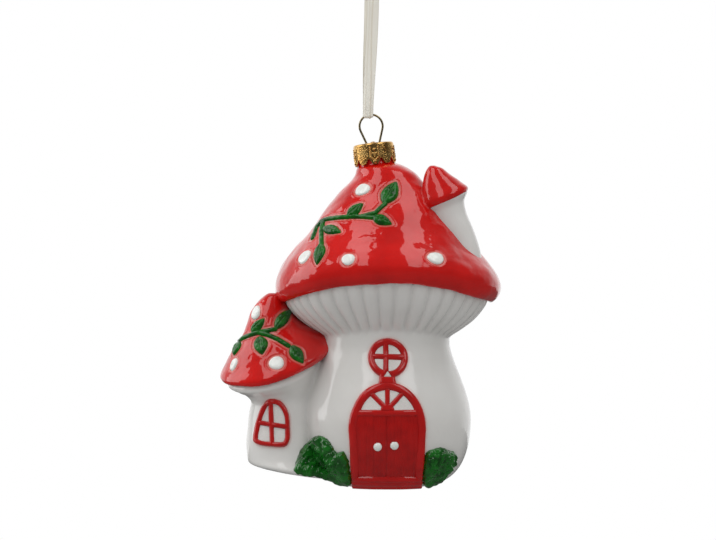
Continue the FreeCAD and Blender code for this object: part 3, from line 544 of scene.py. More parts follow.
def melt(piece, skins, reach, rounds):
    """Smooth a piece where two of its forms meet, as glaze fills the corner."""
    trees = [BVHTree.FromPolygons(points, faces) for points, faces in skins]
    group = piece.vertex_groups.new(name="joint")
    for vertex in piece.data.vertices:
        away = sorted(tree.find_nearest(vertex.co)[3] for tree in trees)
        weight = 1 - away[1] / reach
        if weight > 0:
            group.add([vertex.index], weight, "REPLACE")
    soften(piece, rounds, "joint")
    piece.vertex_groups.clear()


def points_of(piece):
    """A piece's points and its outward directions there, as two arrays."""
    arrays = []
    for key in ("co", "normal"):
        values = np.zeros(len(piece.data.vertices) * 3, np.float32)
        piece.data.vertices.foreach_get(key, values)
        arrays.append(values.reshape(-1, 3))
    return arrays


def push_out(piece, push):
    """Move each point of a piece outwards by its own distance."""
    co, normal = points_of(piece)
    piece.data.vertices.foreach_set("co", (co + normal * push[:, None]).astype(np.float32).ravel())
    piece.data.update()


def moulded(piece, swells):
    """Push a skin's points in and out by slow waves, as hand-finished moulded ware is uneven."""
    co, _ = points_of(piece)
    push = np.zeros(len(co))
    for size, amount, seed in swells:
        push += [amount * noise.noise(Vector(p) / size + Vector((seed, seed, seed))) for p in co]
    push_out(piece, push)


def effect_group(name, taken):
    """A shared effect that gives a colour, a roughness and a height, and takes sockets of some kinds."""
    tree = bpy.data.node_groups.new(name, "ShaderNodeTree")
    given = {"Colour": "Color", "Roughness": "Float", "Height": "Float"}
    for way, sockets in (("INPUT", taken), ("OUTPUT", given)):
        for key, kind in sockets.items():
            tree.interface.new_socket(name=key, in_out=way, socket_type="NodeSocket" + kind)
    return tree, tree.nodes.new("NodeGroupInput").outputs, tree.nodes.new("NodeGroupOutput")


def glaze_group():
    """Fired glaze: where it pools it is deeper in colour, and it has a faint orange-peel skin."""
    tree, given, out = effect_group("fired_glaze", {
        "Colour": "Color", "Deep Colour": "Color", "Cloud Size": "Float", "Pooling": "Float",
        "Roughness": "Float"})
    place = node(tree, "TexCoord").outputs["Object"]
    drawn = node(tree, "VectorMath", {0: place, 1: (1, 1, 0.3)}, operation="MULTIPLY").outputs[0]
    strokes = mottle(tree, drawn, 900.0)
    pools = remap(tree, mottle(tree, place, given["Cloud Size"], 3.0), (0.38, 0.68))
    share = calc(tree, "ADD", calc(tree, "MULTIPLY", pools, given["Pooling"]),
                 calc(tree, "MULTIPLY", strokes, 0.12), use_clamp=True)
    haze = remap(tree, strokes, (0.0, 1.0), (0.8, 1.35))
    pits = node(tree, "TexVoronoi", {"Vector": place, "Scale": 420.0, "Randomness": 1.0}).outputs["Distance"]
    pinhole = remap(tree, pits, (0.0, 0.07), (-1.2, 0.0))
    feed(tree, out, {
        "Colour": mixed(tree, share, given["Colour"], given["Deep Colour"]),
        "Roughness": calc(tree, "MULTIPLY", haze, given["Roughness"]),
        "Height": calc(tree, "ADD", mottle(tree, place, 650.0, 1.0), pinhole)})
    return tree


def coated(name, values, effect_tree, given, strength, distance):
    """A coated finish whose colour, roughness and fine relief come from a shared effect."""
    made, tree, shader = finish_of(name, values)
    effect = tree.nodes.new("ShaderNodeGroup")
    effect.node_tree = effect_tree
    for key, value in given.items():
        effect.inputs[key].default_value = value
    feed(tree, shader, {"Base Color": effect.outputs["Colour"], "Roughness": effect.outputs["Roughness"],
                        "Normal": bumped(tree, effect.outputs["Height"], strength, distance)})
    return made


fired_glaze = glaze_group()


def glaze(name, colour, deep, cloud_size=90.0, pooling=0.6, roughness=0.3, coat_roughness=0.035, coat=1.0):
    """A glazed or enamelled finish under a clear glossy coat."""
    values = {"Coat Weight": coat, "Coat Roughness": coat_roughness, "Coat IOR": 1.55,
              "Specular IOR Level": 0.1}
    given = {"Colour": (*colour, 1), "Deep Colour": (*deep, 1), "Cloud Size": cloud_size, "Pooling": pooling,
             "Roughness": roughness}
    made = coated(name, values, fired_glaze, given, 0.6, 0.00004)
    shader = made.node_tree.nodes["Principled BSDF"]
    feed(made.node_tree, shader, {"Coat Normal": shader.inputs["Normal"].links[0].from_socket})
    return made


red_glaze = glaze("deep_red_glaze", (0.62, 0.006, 0.004), (0.42, 0.003, 0.002))
cap_form = dict(side=0, front=0, foot=0.0586, rise=0.0441, half=0.0360, depth=DEPTH_SHARE, rows=[
    (0.120, -0.760, 0.760), (0.070, -0.820, 0.820, 0.50), (0.022, -0.880, 0.880, 0.94),
    (-0.002, -0.922, 0.922, 1.00), (0.022, -0.962, 0.972, 1.00), (0.066, -0.985, 1.006, 0.97),
    (0.122, -0.989, 1.017, 0.90), (0.190, -0.972, 0.989, 0.77), (0.268, -0.928, 0.922, 0.60),
    (0.376, -0.828, 0.811, 0.37), (0.522, -0.667, 0.678, 0.17), (0.667, -0.553, 0.556, 0.05, 0, 0, 0.85),
    (0.776, -0.442, 0.444, 0, 0, 0, 0.85), (0.866, -0.339, 0.339, 0, 0.03, 0, 0.90),
    (0.934, -0.281, 0.244, 0, 0.08, 0, 0.96), (0.975, -0.270, 0.135, 0, 0.10, 0, 1),
    (0.991, -0.262, 0.070, 0, 0.114, 0, 1)])
dormer_cap_form = dict(side=0.0185, front=0.0084, foot=0.0904, rise=0.0113, half=0.0075, depth=0.95, rows=[
    (0.080, -0.780, 0.780, 0, 0.43), (0.000, -0.931, 0.947, 0, 0.43), (0.105, -1.000, 1.000, 0, 0.41),
    (0.354, -0.995, 0.627, 0, 0.42), (0.615, -0.931, 0.221, 0, 0.39), (0.906, -0.803, -0.184, 0, 0.25),
    (1.000, -0.653, -0.419)])
NECK_RADIUS, NECK_FOOT, NECK_RISE, NECK_STEPS = 0.0058, -0.003, 0.0063, 96
EVEN_ROUNDS = 4
cap_cell = 0.0003
neck_turns = [math.tau * step / NECK_STEPS for step in range(NECK_STEPS)]
neck_circle = [(NECK_RADIUS * math.cos(turn), NECK_RADIUS * math.sin(turn)) for turn in neck_turns]
neck_rings = [[neck_frame @ Vector((x, y, z)) for x, y in neck_circle] for z in (NECK_FOOT, NECK_RISE)]
cap_skins = [form_skin(cap_form), form_skin(dormer_cap_form, turns=120, levels=60), closed_tube(neck_rings)]
red_cap = fused("red_cap_glazed", cap_skins, cap_cell, "house", "red_glaze", red_glaze)
melt(red_cap, cap_skins, reach=0.0022, rounds=14)
soften(red_cap, EVEN_ROUNDS)
moulded(red_cap, [(0.011, 0.00045, 1.5), (0.0042, 0.00015, 7.1), (0.0017, 0.000035, 3.3)])
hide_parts("main_cap", "dormer_cap")

# White body: the round house with its fluted gills, and the small house that leans on its left side.
# Three castings luted together under one white glaze, so the joints between them are filled and soft.
white_glaze = glaze("white_glaze", (0.73, 0.72, 0.695), (0.655, 0.64, 0.61), 60.0, 0.5, 0.30, 0.05)
stem_form = dict(side=0, front=0, foot=0, rise=0.0472, half=0.0267, depth=DEPTH_SHARE, rows=[
    (0.000, -0.524, 0.524), (0.019, -0.637, 0.645), (0.081, -0.783, 0.803), (0.182, -0.899, 0.925),
    (0.307, -0.970, 0.995), (0.453, -1.000, 1.012), (0.593, -0.966, 0.966), (0.725, -0.895, 0.895),
    (0.860, -0.809, 0.809), (0.949, -0.757, 0.757, 0.05), (1.000, -0.749, 0.749, 0.32),
    (1.060, -0.680, 0.680, 0.20), (1.100, -0.540, 0.540)])
gill_form = dict(side=0, front=0, foot=0.0472, rise=0.0114, half=0.0326, depth=DEPTH_SHARE, rows=[
    (-0.300, -0.540, 0.540), (0.000, -0.606, 0.606, 0.32), (0.211, -0.721, 0.721, 0.50),
    (0.491, -0.855, 0.855, 0.70), (0.772, -0.952, 0.945, 0.88), (1.020, -0.995, 0.990, 0.99),
    (1.500, -0.900, 0.900)])
annex_stem_form = dict(side=-0.0331, front=-0.0005, foot=0.0045, rise=0.0330, half=0.0130, depth=0.92, rows=[
    (-0.020, -0.560, 1.425, 0, -0.15), (0.018, -0.790, 1.548, 0, -0.12), (0.125, -0.880, 1.155),
    (0.300, -0.912, 0.958, 0, 0.02), (0.445, -0.875, 0.860, 0, 0.04), (0.572, -0.838, 0.835, 0, 0.06),
    (0.707, -0.789, 0.786, 0, 0.10, 0.10), (0.785, -0.888, 0.860, 0, 0.16, 0.15),
    (0.901, -1.183, 0.958, -0.17, 0.25, 0.20), (0.985, -1.370, 1.020, -0.30, 0.30, 0.22),
    (1.100, -1.150, 0.800, 0, 0.30, 0.15)])
body_cell = 0.00038
body_skins = [form_skin(stem_form), form_skin(gill_form), form_skin(annex_stem_form)]
white_body = fused("white_body_glazed", body_skins, body_cell, "house", "white_glaze", white_glaze)
melt(white_body, body_skins, reach=0.0034, rounds=30)
soften(white_body, EVEN_ROUNDS)
moulded(white_body, [(0.014, 0.00035, 4.2), (0.005, 0.00007, 9.7)])
FLUTES = 38
FLUTE_DEPTH = 0.00085
FLUTE_WAVE = 0.32
FLUTE_START, FLUTE_FADE, FLUTE_INNER = 0.0006, 0.0030, 0.0175
local = points_of(white_body)[0] - np.array(datum)
turn = np.arctan2(local[:, 1] / DEPTH_SHARE, local[:, 0])
lift = local[:, 2] - gill_form["foot"] - BRIM_WAVE * FLUTE_WAVE * np.sin(turn) ** 2
outside = np.hypot(local[:, 0], local[:, 1] / DEPTH_SHARE) > FLUTE_INNER
fade = np.clip((lift + FLUTE_START) / FLUTE_FADE, 0, 1) * outside
wander = 0.25 * np.sin(3 * turn + 1.0) + 0.15 * np.sin(7 * turn)
groove = (1 - np.abs(np.sin(FLUTES * turn / 2 + wander))) ** 1.5
push_out(white_body, -FLUTE_DEPTH * groove * fade * fade * (3 - 2 * fade))
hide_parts("main_stem", "main_gills", "annex_stem")

# Annex cap: the small house's own leaning red bell, drawn over the flared white underside.
# It wears the main cap's glaze, and it is uneven in the same way at its smaller size.
annex_cap_form = dict(side=-0.0352, front=-0.0005, foot=0.0390, rise=0.0226, half=0.0173, depth=0.875, rows=[
    (0.130, -0.780, 0.840, 0, 0.30, 0.15), (0.002, -0.985, 1.060, -0.33, 0.30, 0.22),
    (0.077, -1.040, 1.125, -0.33, 0.31, 0.22), (0.186, -0.945, 1.020, -0.27, 0.28, 0.20),
    (0.335, -0.805, 0.780, -0.17, 0.26, 0.15), (0.483, -0.657, 0.490, 0, 0.26, 0.10),
    (0.646, -0.546, 0.324, 0, 0.23, 0.05), (0.795, -0.472, 0.213, 0, 0.23),
    (0.901, -0.361, 0.139, 0, 0.18), (0.979, -0.213, 0.065, 0, 0.10), (1.000, -0.139, 0.009)])
annex_cap_skin = form_skin(annex_cap_form)
annex_cap = fused("annex_cap_glazed", [annex_cap_skin], cap_cell, "house", "red_glaze", red_glaze)
melt(annex_cap, [annex_cap_skin, cap_skins[0]], reach=0.0001, rounds=1)
soften(annex_cap, EVEN_ROUNDS)
moulded(annex_cap, [(0.009, 0.00035, 2.5), (0.0038, 0.00012, 5.1), (0.0016, 0.00003, 3.7)])
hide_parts("annex_cap")

# Chimney stem: the white stalk of the small toadstool on the right slope, flared under its cap.
# It is a casting of its own that stands on the cap's slope, so the joint at its foot stays sharp.
dormer_stem_form = dict(side=0.0185, front=0.0084, foot=0.0714, rise=0.0182, half=0.0075, depth=0.95, rows=[
    (-0.002, 0.200, 1.565), (0.209, 0.072, 1.459, 0, 0.05), (0.525, -0.248, 1.181, 0, 0.15),
    (0.800, -0.560, 0.870, 0, 0.30), (0.930, -0.690, 0.800, 0, 0.38), (1.060, -0.880, 0.930, 0, 0.43),
    (1.120, -0.700, 0.750, 0, 0.43)])
dormer_stem = fused("chimney_stem_glazed", [form_skin(dormer_stem_form, turns=160, levels=80)], cap_cell,
                    "house", "white_glaze", white_glaze)
melt(dormer_stem, [form_skin(dormer_stem_form, turns=80, levels=30), cap_skins[0]], reach=0.0001, rounds=1)
soften(dormer_stem, EVEN_ROUNDS)
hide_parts("dormer_stem")

# Enamel colours: thick glossy enamels painted over the raised details, with fine glitter in the pale ones.
# The flecks are cells that each catch the light a little differently, faint green and pink among white.
# An enamel is kept as two things, the name of its slot and its finish.
def glitter_group():
    """Fine glitter laid in clear enamel: a share of small cells shine and tint the colour under them."""
    tree, given, out = effect_group("glitter_in_enamel", {
        "Colour": "Color", "Fleck Size": "Float", "Amount": "Float"})
    place = node(tree, "TexCoord").outputs["Object"]
    cells = node(tree, "TexVoronoi", {"Vector": place, "Scale": given["Fleck Size"]}).outputs
    parts = node(tree, "SeparateColor", {"Color": cells["Color"]}).outputs
    shown = calc(tree, "LESS_THAN", parts["Red"], given["Amount"])
    fleck = calc(tree, "MULTIPLY", shown, remap(tree, cells["Distance"], (0.42, 0.30)))
    hue = node(tree, "ValToRGB", {"Fac": parts["Green"]})
    ramp = hue.color_ramp
    ramp.elements[0].position, ramp.elements[0].color = 0.0, (0.50, 0.80, 0.58, 1)
    ramp.elements[1].position, ramp.elements[1].color = 1.0, (0.95, 0.70, 0.80, 1)
    ramp.elements.new(0.5).color = (0.98, 0.98, 0.96, 1)
    strength = calc(tree, "MULTIPLY", fleck, 0.75)
    feed(tree, out, {
        "Colour": mixed(tree, strength, given["Colour"], hue.outputs["Color"]),
        "Roughness": remap(tree, fleck, (0.0, 1.0), (0.34, 0.16)),
        "Height": calc(tree, "MULTIPLY", parts["Blue"], fleck)})
    return tree


glitter_in_enamel = glitter_group()


def glitter(name, colour, fleck_size, amount):
    """A pale enamel with glitter in it, under a clear glossy coat."""
    values = {"Coat Weight": 1.0, "Coat Roughness": 0.06, "Coat IOR": 1.5}
    given = {"Colour": (*colour, 1), "Fleck Size": fleck_size, "Amount": amount}
    return coated(name, values, glitter_in_enamel, given, 0.7, 0.00003)


red_enamel = "red_enamel", glaze("red_enamel", (0.48, 0.006, 0.005), (0.34, 0.003, 0.003), 260.0, 0.5)
dark_red_enamel = "dark_red_enamel", glaze(
    "dark_red_enamel", (0.44, 0.004, 0.003), (0.32, 0.002, 0.002), 300.0, 0.7)
green_enamel = "green_enamel", glaze(
    "green_enamel", (0.007, 0.140, 0.008), (0.002, 0.052, 0.003), 420.0, 0.9, 0.28, 0.035, 0.6)
bush_enamel = "green_enamel", glaze(
    "dark_green_enamel", (0.010, 0.15, 0.012), (0.003, 0.048, 0.004), 420.0, 0.9, 0.18, 0.05)
dot_enamel = "white_enamel", glitter("white_dot_enamel", (0.78, 0.80, 0.76), 5200.0, 0.45)
pane_enamel = "glitter_pane", glitter("glitter_pane_enamel", (0.72, 0.69, 0.66), 4200.0, 0.7)


# Raised details: each is laid on its carrier's own skin, so that it follows every swell of the ware.
# A grid is dropped on the skin and lifted by a height in millimetres; it ends a little under the skin.
def skin_of(carrier):
    """A search tree over a finished piece's mesh."""
    places = [vertex.co.copy() for vertex in carrier.data.vertices]
    return BVHTree.FromPolygons(places, [tuple(face.vertices) for face in carrier.data.polygons])


def seen_at(skin, x, z):
    """The place and outward direction on a skin seen at x, z millimetres in the plane of the datum."""
    target = datum + Vector((x / 1000, 0, z / 1000))
    place, normal, _, _ = skin.ray_cast(camera.location, (target - camera.location).normalized())
    if place is None:
        place, normal, _, _ = skin.find_nearest(target)
    return place, normal


def plane_at(place, out):
    """The frame of a plane at a place: across, up, and out along a direction."""
    across = Vector((0, 0, 1)).cross(out).normalized()
    return place, across, out.cross(across).normalized(), out.normalized()


def flat_in(plane, place):
    """A place in a plane's own millimetres."""
    away = place - plane[0]
    return away.dot(plane[1]) * 1000, away.dot(plane[2]) * 1000


def blurred(field):
    """A grid of numbers averaged with its neighbours."""
    padded = np.pad(field, 1, mode="edge")
    field = (padded[:-2, 1:-1] + 2 * padded[1:-1, 1:-1] + padded[2:, 1:-1]) / 4
    padded = np.pad(field, 1, mode="edge")
    return (padded[1:-1, :-2] + 2 * padded[1:-1, 1:-1] + padded[1:-1, 2:]) / 4


RAY_REACH = 0.05
ROOT_DEPTH = 0.9
LOWEST_EDGE = -0.6
STEEPEST = 0.12


def relief(name, skin, plane, low, high, height_of, finish, cell):
    """A raised detail over a patch of a skin; low and high are the patch's corners in millimetres."""
    centre, across, up, out = plane
    a, b = np.meshgrid(np.arange(low[0], high[0], cell), np.arange(low[1], high[1], cell))
    depth = np.full(a.shape, np.nan)
    for r in range(a.shape[0]):
        for c in range(a.shape[1]):
            start = centre + across * (a[r, c] / 1000) + up * (b[r, c] / 1000) + out * RAY_REACH
            place, _, _, away = skin.ray_cast(start, -out, 2 * RAY_REACH)
            if place is not None:
                depth[r, c] = (RAY_REACH - away) * 1000
    heights = height_of(a, b)
    solid = ~np.isnan(depth)
    soft = blurred(blurred(np.where(solid, depth, np.nanmin(depth))))
    slope_b, slope_a = np.gradient(soft, cell)
    normal = np.stack([-slope_a, -slope_b, np.ones_like(a)], -1)
    normal /= np.linalg.norm(normal, axis=-1, keepdims=True)
    flat = np.stack([a, b, soft], -1)
    top = flat + normal * heights[..., None]
    bottom = flat - normal * np.maximum(ROOT_DEPTH, -heights + 0.2)[..., None]
    usable = solid & (heights > LOWEST_EDGE) & (normal[..., 2] > STEEPEST)
    keep = usable[:-1, :-1] & usable[:-1, 1:] & usable[1:, 1:] & usable[1:, :-1]
    count = a.size
    index = np.arange(count).reshape(a.shape)
    corners = index[:-1, :-1], index[:-1, 1:], index[1:, 1:], index[1:, :-1]
    padded = np.pad(keep, 1)
    beside = padded[:-2, 1:-1], padded[1:-1, 2:], padded[2:, 1:-1], padded[1:-1, :-2]
    quads = [np.stack(corners, -1)[keep], np.stack(corners[::-1], -1)[keep] + count]
    for side in range(4):
        p, q = corners[side], corners[(side + 1) % 4]
        quads.append(np.stack([q, p, p + count, q + count], -1)[keep & ~beside[side]])
    quads = np.concatenate(quads)
    basis = np.array([across, up, out])
    points = np.concatenate([top.reshape(-1, 3), bottom.reshape(-1, 3)]) / 1000 @ basis + np.array(centre)
    points[:, 2] = np.maximum(points[:, 2], datum.z)
    used, renamed = np.unique(quads, return_inverse=True)
    piece = mesh_piece(name, points[used], renamed.reshape(quads.shape), "house", *finish)
    store(piece, "height", np.concatenate([heights.ravel(), np.zeros(count)])[used])
    return piece


def bead(distance, height, edge):
    """A rounded edge: from nothing at the outline to full height at a distance inside it."""
    inside = np.clip(distance / edge, 0, 1)
    return np.where(distance < 0, 1.5 * distance, height * np.sqrt(1 - (1 - inside) ** 2))


def inside_outline(a, b, corners):
    """How far inside a smooth closed outline through some corners each place is."""
    places = np.array(corners, float)
    rounded = []
    for p0, p1, p2, p3 in zip(np.roll(places, 1, 0), places, np.roll(places, -1, 0), np.roll(places, -2, 0)):
        for share in np.arange(5) / 5:
            rounded.append(p1 + 0.5 * share * (p2 - p0 + share * (2 * p0 - 5 * p1 + 4 * p2 - p3
                                               + share * (3 * (p1 - p2) + p3 - p0))))
    nearest = np.full(a.shape, 1e9)
    inside = np.zeros(a.shape, bool)
    for start, end in zip(rounded, rounded[1:] + rounded[:1]):
        run = end - start
        share = np.clip(((a - start[0]) * run[0] + (b - start[1]) * run[1]) / (run @ run + 1e-12), 0, 1)
        nearest = np.minimum(nearest, np.hypot(a - start[0] - share * run[0], b - start[1] - share * run[1]))
        crosses = (start[1] > b) != (end[1] > b)
        steep = run[1] if abs(run[1]) > 1e-9 else np.inf
        inside ^= crosses & (a < start[0] + (b - start[1]) * run[0] / steep)
    return np.where(inside, nearest, -nearest)


def uneven(a, b, size, amount, seed):
    """A slow unevenness, as of a line painted or pressed by hand."""
    return amount * (np.sin(a / size + seed) * np.cos(0.8 * b / size + 2.1 * seed)
                     + 0.5 * np.sin(1.9 * (a + b) / size + 3.3 * seed))


# Dots: flat white drops of glittering enamel, each lying in a faint ring pressed into the cap.
# A row gives where the middle is seen from the front, its half width and half height, and a slant.
red_skin = skin_of(red_cap)
annex_skin = skin_of(annex_cap)
main_dots = [(-7.7, 94.6, 2.45, 2.25, 0.5), (-26.3, 73.0, 2.4, 2.5, 0.0), (-12.3, 72.3, 2.2, 1.95, -0.2),
             (15.8, 72.7, 2.75, 2.25, 0.1)]
DOT_PATCH = 3.6
annex_dots = [(-41.9, 55.2, 1.8, 2.4, 0.2), (-35.2, 39.1, 2.35, 2.25, 0.0), (-48.9, 38.6, 1.5, 2.1, 0.0)]


def drops(skin, rows, name):
    """Lay drops of enamel on a cap."""
    made = []
    for number, (x, z, wide, tall, slant) in enumerate(rows):

        def height_of(a, b):
            turned_a = a * math.cos(slant) + b * math.sin(slant)
            turned_b = b * math.cos(slant) - a * math.sin(slant)
            share = np.hypot(turned_a / wide, turned_b / tall)
            angle = np.arctan2(turned_b, turned_a)
            distance = (1 - share * (1 + 0.03 * np.sin(3 * angle + number))) * min(wide, tall)
            return bead(distance, 0.5, 0.8) + 0.05 * np.sin(a * 1.7) * np.cos(b * 2.1)

        made.append(relief("%s_%d" % (name, number + 1), skin, plane_at(*seen_at(skin, x, z)),
                           (-DOT_PATCH, -DOT_PATCH), (DOT_PATCH, DOT_PATCH), height_of, dot_enamel, 0.12))
    return made


cap_drops = drops(red_skin, main_dots, "cap_dot")
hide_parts("main_cap_dots")
annex_drops = drops(annex_skin, annex_dots, "annex_dot")
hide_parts("annex_cap_dots")

# Vines: round stalks and pointed domed leaves in green, each leaf with a pressed middle vein.
# A leaf row gives where its stalk end and its tip are seen from the front, and its width.
# A whole vine is one detail, drawn in a plane that faces outwards and partly to the front.
MAIN_STALKS = [[(-20.6, 84.6), (-17, 85.4), (-12.6, 85.8), (-8.4, 85.9), (-3.6, 87.1), (-0.4, 90.0)],
               [(-20.2, 84.5), (-20.9, 81.5), (-20.8, 76.6)], [(-20.6, 84.6), (-22.4, 82.4), (-23.7, 79.0)],
               [(-8.4, 85.9), (-5.6, 85.7), (-3.4, 85.4)]]
MAIN_LEAVES = [(-0.9, 90.0, 3.3, 97.2, 5.2), (-4.4, 85.9, 1.8, 83.4, 3.7), (-12.6, 85.7, -7.4, 90.2, 3.7),
               (-20.2, 82.2, -14.5, 80.8, 3.5), (-20.8, 77.2, -22.3, 70.4, 3.9)]
ANNEX_STALKS = [[(-47.2, 46.2), (-43.6, 48.0), (-41.2, 48.8), (-37.8, 48.0), (-34.6, 46.6), (-31.4, 44.6)],
                [(-41.2, 48.8), (-38.4, 49.4), (-35.6, 49.9)]]
ANNEX_LEAVES = [(-43.2, 48.8, -39.0, 53.4, 3.3), (-35.6, 49.8, -30.3, 55.9, 3.6),
                (-40.6, 47.6, -39.8, 41.7, 4.6), (-30.6, 44.6, -26.6, 38.9, 4.0),
                (-47.0, 45.8, -48.9, 41.4, 3.0)]
STALK_HALF = 0.72
LEAF_RISE, VEIN_DEPTH = 1.05, 0.30


def along_run(a, b, start, end):
    """How far along and beside the line from a start to an end each place is, and the line's length."""
    long = np.hypot(*(end - start))
    x, y = (end - start) / long
    a, b = a - start[0], b - start[1]
    return a * x + b * y, b * x - a * y, long


def vine_on(name, skin, stalks, leaves, middle, half_size):
    """A whole vine as one raised detail, drawn in the plane of its middle."""
    place, normal = seen_at(skin, *middle)
    plane = plane_at(place, (normal + Vector((0, -0.6, 0))).normalized())

    def drawn(x, z):
        return np.array(flat_in(plane, seen_at(skin, x, z)[0]))

    def height_of(a, b):
        level = np.full(a.shape, -3.0)
        for places in stalks:
            line = [drawn(*place) for place in places]
            for start, end in zip(line, line[1:]):
                forward, aside, long = along_run(a, b, start, end)
                away = np.hypot(forward - np.clip(forward, 0, long), aside)
                level = np.maximum(level, bead(STALK_HALF - away, 0.7, 0.75))
        for x0, z0, x1, z1, wide in leaves:
            forward, aside, long = along_run(a, b, drawn(x0, z0), drawn(x1, z1))
            share, aside = forward / long, np.abs(aside)
            swell = np.sin(math.pi * np.clip(share, 0, 1) ** 0.82)
            distance = np.where((share > 0) & (share < 1), (wide / 2 * swell ** 0.9 - aside) * 0.85, -1.0)
            vein = VEIN_DEPTH * np.exp(-(aside / 0.22) ** 2) * (distance > 0)
            ribs = 0.07 * np.cos((forward - 0.7 * aside) * 4.6) * np.clip(distance, 0, 0.5)
            level = np.maximum(level, bead(distance, LEAF_RISE, 1.3) - vein + ribs)
        return level + 0.05 * np.sin(2.3 * a) * np.cos(2.6 * b)

    return relief(name, skin, plane, (-half_size[0], -half_size[1]), half_size, height_of, green_enamel, 0.15)


main_vine = vine_on("cap_vine", red_skin, MAIN_STALKS, MAIN_LEAVES, (-10.5, 83.8), (19.0, 17.0))
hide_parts("main_vine")
annex_vine = vine_on("annex_cap_vine", annex_skin, ANNEX_STALKS, ANNEX_LEAVES, (-37.5, 47.6), (16.0, 12.0))
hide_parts("annex_vine")

# Door: an arched frame with its rail, a fanlight of four panes between three bars, and two plank leaves.
# All of it is moulded in low relief on the round wall and stands out square to the front.
# Its sizes are in millimetres from the datum, and a height is how far a place stands out of the wall.
wall = skin_of(white_body)
DOOR_HALF, DOOR_FOOT_HALF, DOOR_FOOT, DOOR_SPRING, DOOR_CROWN = 12.1, 10.9, 1.5, 19.0, 34.0
DOOR_FRAME, RAIL_TOP, RAIL_FOOT = 2.7, 25.4, 23.4
PLANK_WIDTH, SEAM_SIDE = 2.1, -0.3
KNOB_RADIUS, KNOB_STALK, KNOB_RISE = 1.3, 0.62, 0.95
KNOBS = ((-2.95, 14.0), (2.15, 14.4))
STEP_HALF, STEP_MIDDLE, STEP_FLAT, STEP_EDGE, STEP_RISE = 9.0, 2.2, 0.4, 2.1, 1.55
FRONT = Vector((0, -1, 0))
door_plane = plane_at(datum, FRONT)


def arch(a, b):
    """How far inside the door's arched outline a place is; its foot is open."""
    over, rise = np.maximum(b - DOOR_SPRING, 0), DOOR_CROWN - DOOR_SPRING
    share = np.sqrt((a / DOOR_HALF) ** 2 + (over / rise) ** 2) + 1e-6
    steep = np.sqrt((a / DOOR_HALF ** 2) ** 2 + (over / rise ** 2) ** 2) / share + 1e-6
    below = np.clip((DOOR_SPRING - b) / (DOOR_SPRING - DOOR_FOOT), 0, 1.3)
    side = DOOR_HALF - (DOOR_HALF - DOOR_FOOT_HALF) * below
    return np.where(b > DOOR_SPRING, (1 - share) / steep, side - np.abs(a))


def door_frame_height(a, b):
    """The frame's rounded band and the rail across it."""
    outer = arch(a, b) + uneven(a, b, 4.0, 0.10, 1.0)
    inner = DOOR_FRAME - outer
    band = np.minimum(outer, inner)
    band = np.where(b < DOOR_FOOT, np.minimum(band, b - DOOR_FOOT + 0.6), band)
    rail = np.minimum(np.minimum(b - RAIL_FOOT + 0.2, RAIL_TOP - b), outer) + uneven(a, b, 3.0, 0.06, 2.0)
    return np.maximum(bead(band, 1.3, 1.2), bead(rail, 1.0, 0.9))


door_frame = relief("door_frame_moulded", wall, door_plane, (-13.5, -0.5), (13.5, 35.5), door_frame_height,
                    red_enamel, 0.16)
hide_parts("door_frame")

FAN_TURNS = (47, 90, 135)
SPOKE_HALF, HUB_RADIUS = 0.84, 2.25


def spoke_distance(a, b):
    """How far inside one of the fanlight's three bars, or their hub, a place is."""
    level = HUB_RADIUS - np.hypot(a, b - RAIL_TOP + 0.3)
    for turn in FAN_TURNS:
        x, y = math.cos(math.radians(turn)), math.sin(math.radians(turn))
        forward = a * x + (b - RAIL_TOP) * y
        aside = np.abs((b - RAIL_TOP) * x - a * y)
        level = np.maximum(level, np.where(forward > 0, SPOKE_HALF - aside, -1.0))
    return level


def fan_bars_height(a, b):
    """Three radiating bars, kept inside the frame and over the rail."""
    limit = np.minimum(arch(a, b) - DOOR_FRAME + 0.9, b - RAIL_TOP + 0.6)
    return bead(np.minimum(spoke_distance(a, b) + uneven(a, b, 2.0, 0.05, 3.0), limit), 0.95, 0.7)


fan_bars = relief("fanlight_bars_moulded", wall, door_plane, (-10, 23.5), (10, 33.5), fan_bars_height,
                  red_enamel, 0.13)
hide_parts("fanlight_bars")


def fan_panes_height(a, b):
    """The pale enamel of the fanlight, flat between the bars."""
    limit = np.minimum(arch(a, b) - DOOR_FRAME + 0.7, b - RAIL_TOP + 0.5)
    return bead(np.minimum(limit, 0.5 - spoke_distance(a, b)), 0.45, 0.5) + uneven(a, b, 0.7, 0.02, 4.0)


fan_panes = relief("fanlight_panes_glitter", wall, door_plane, (-10.5, 23.5), (10.5, 33.5), fan_panes_height,
                   pane_enamel, 0.16)
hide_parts("fanlight_panes")


def door_leaves_height(a, b):
    """Two leaves of upright planks with a seam between them."""
    limit = np.minimum(np.minimum(arch(a, b) - DOOR_FRAME + 0.9, RAIL_FOOT - b + 0.8), b - 3.4)
    planks = 0.12 * np.exp(-((np.mod(a + PLANK_WIDTH / 2, PLANK_WIDTH) - PLANK_WIDTH / 2) / 0.16) ** 2)
    seam = 0.22 * np.exp(-((a - SEAM_SIDE) / 0.2) ** 2)
    streaks = 0.03 * np.sin(5.1 * a + 0.5 * np.sin(0.4 * b)) + 0.02 * np.sin(9.7 * a + 1.0)
    return bead(limit, 0.62, 0.6) - (planks + seam) * (limit > 0) + streaks


door_leaves = relief("door_leaves_planked", wall, door_plane, (-10.5, 2.5), (10.5, 25.0), door_leaves_height,
                     dark_red_enamel, 0.14)
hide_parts("door_leaves")


def knobs_height(a, b):
    """Two round knobs, one on each leaf."""
    away = np.minimum(*[np.hypot(a - x, b - z) for x, z in KNOBS])
    dome = np.sqrt(np.clip(1 - (away / KNOB_RADIUS) ** 2, 0, 1))
    beyond = KNOB_STALK + 2 * (KNOB_RADIUS - away) - 0.4
    return np.where(away < KNOB_RADIUS, KNOB_STALK + KNOB_RISE * dome, beyond)


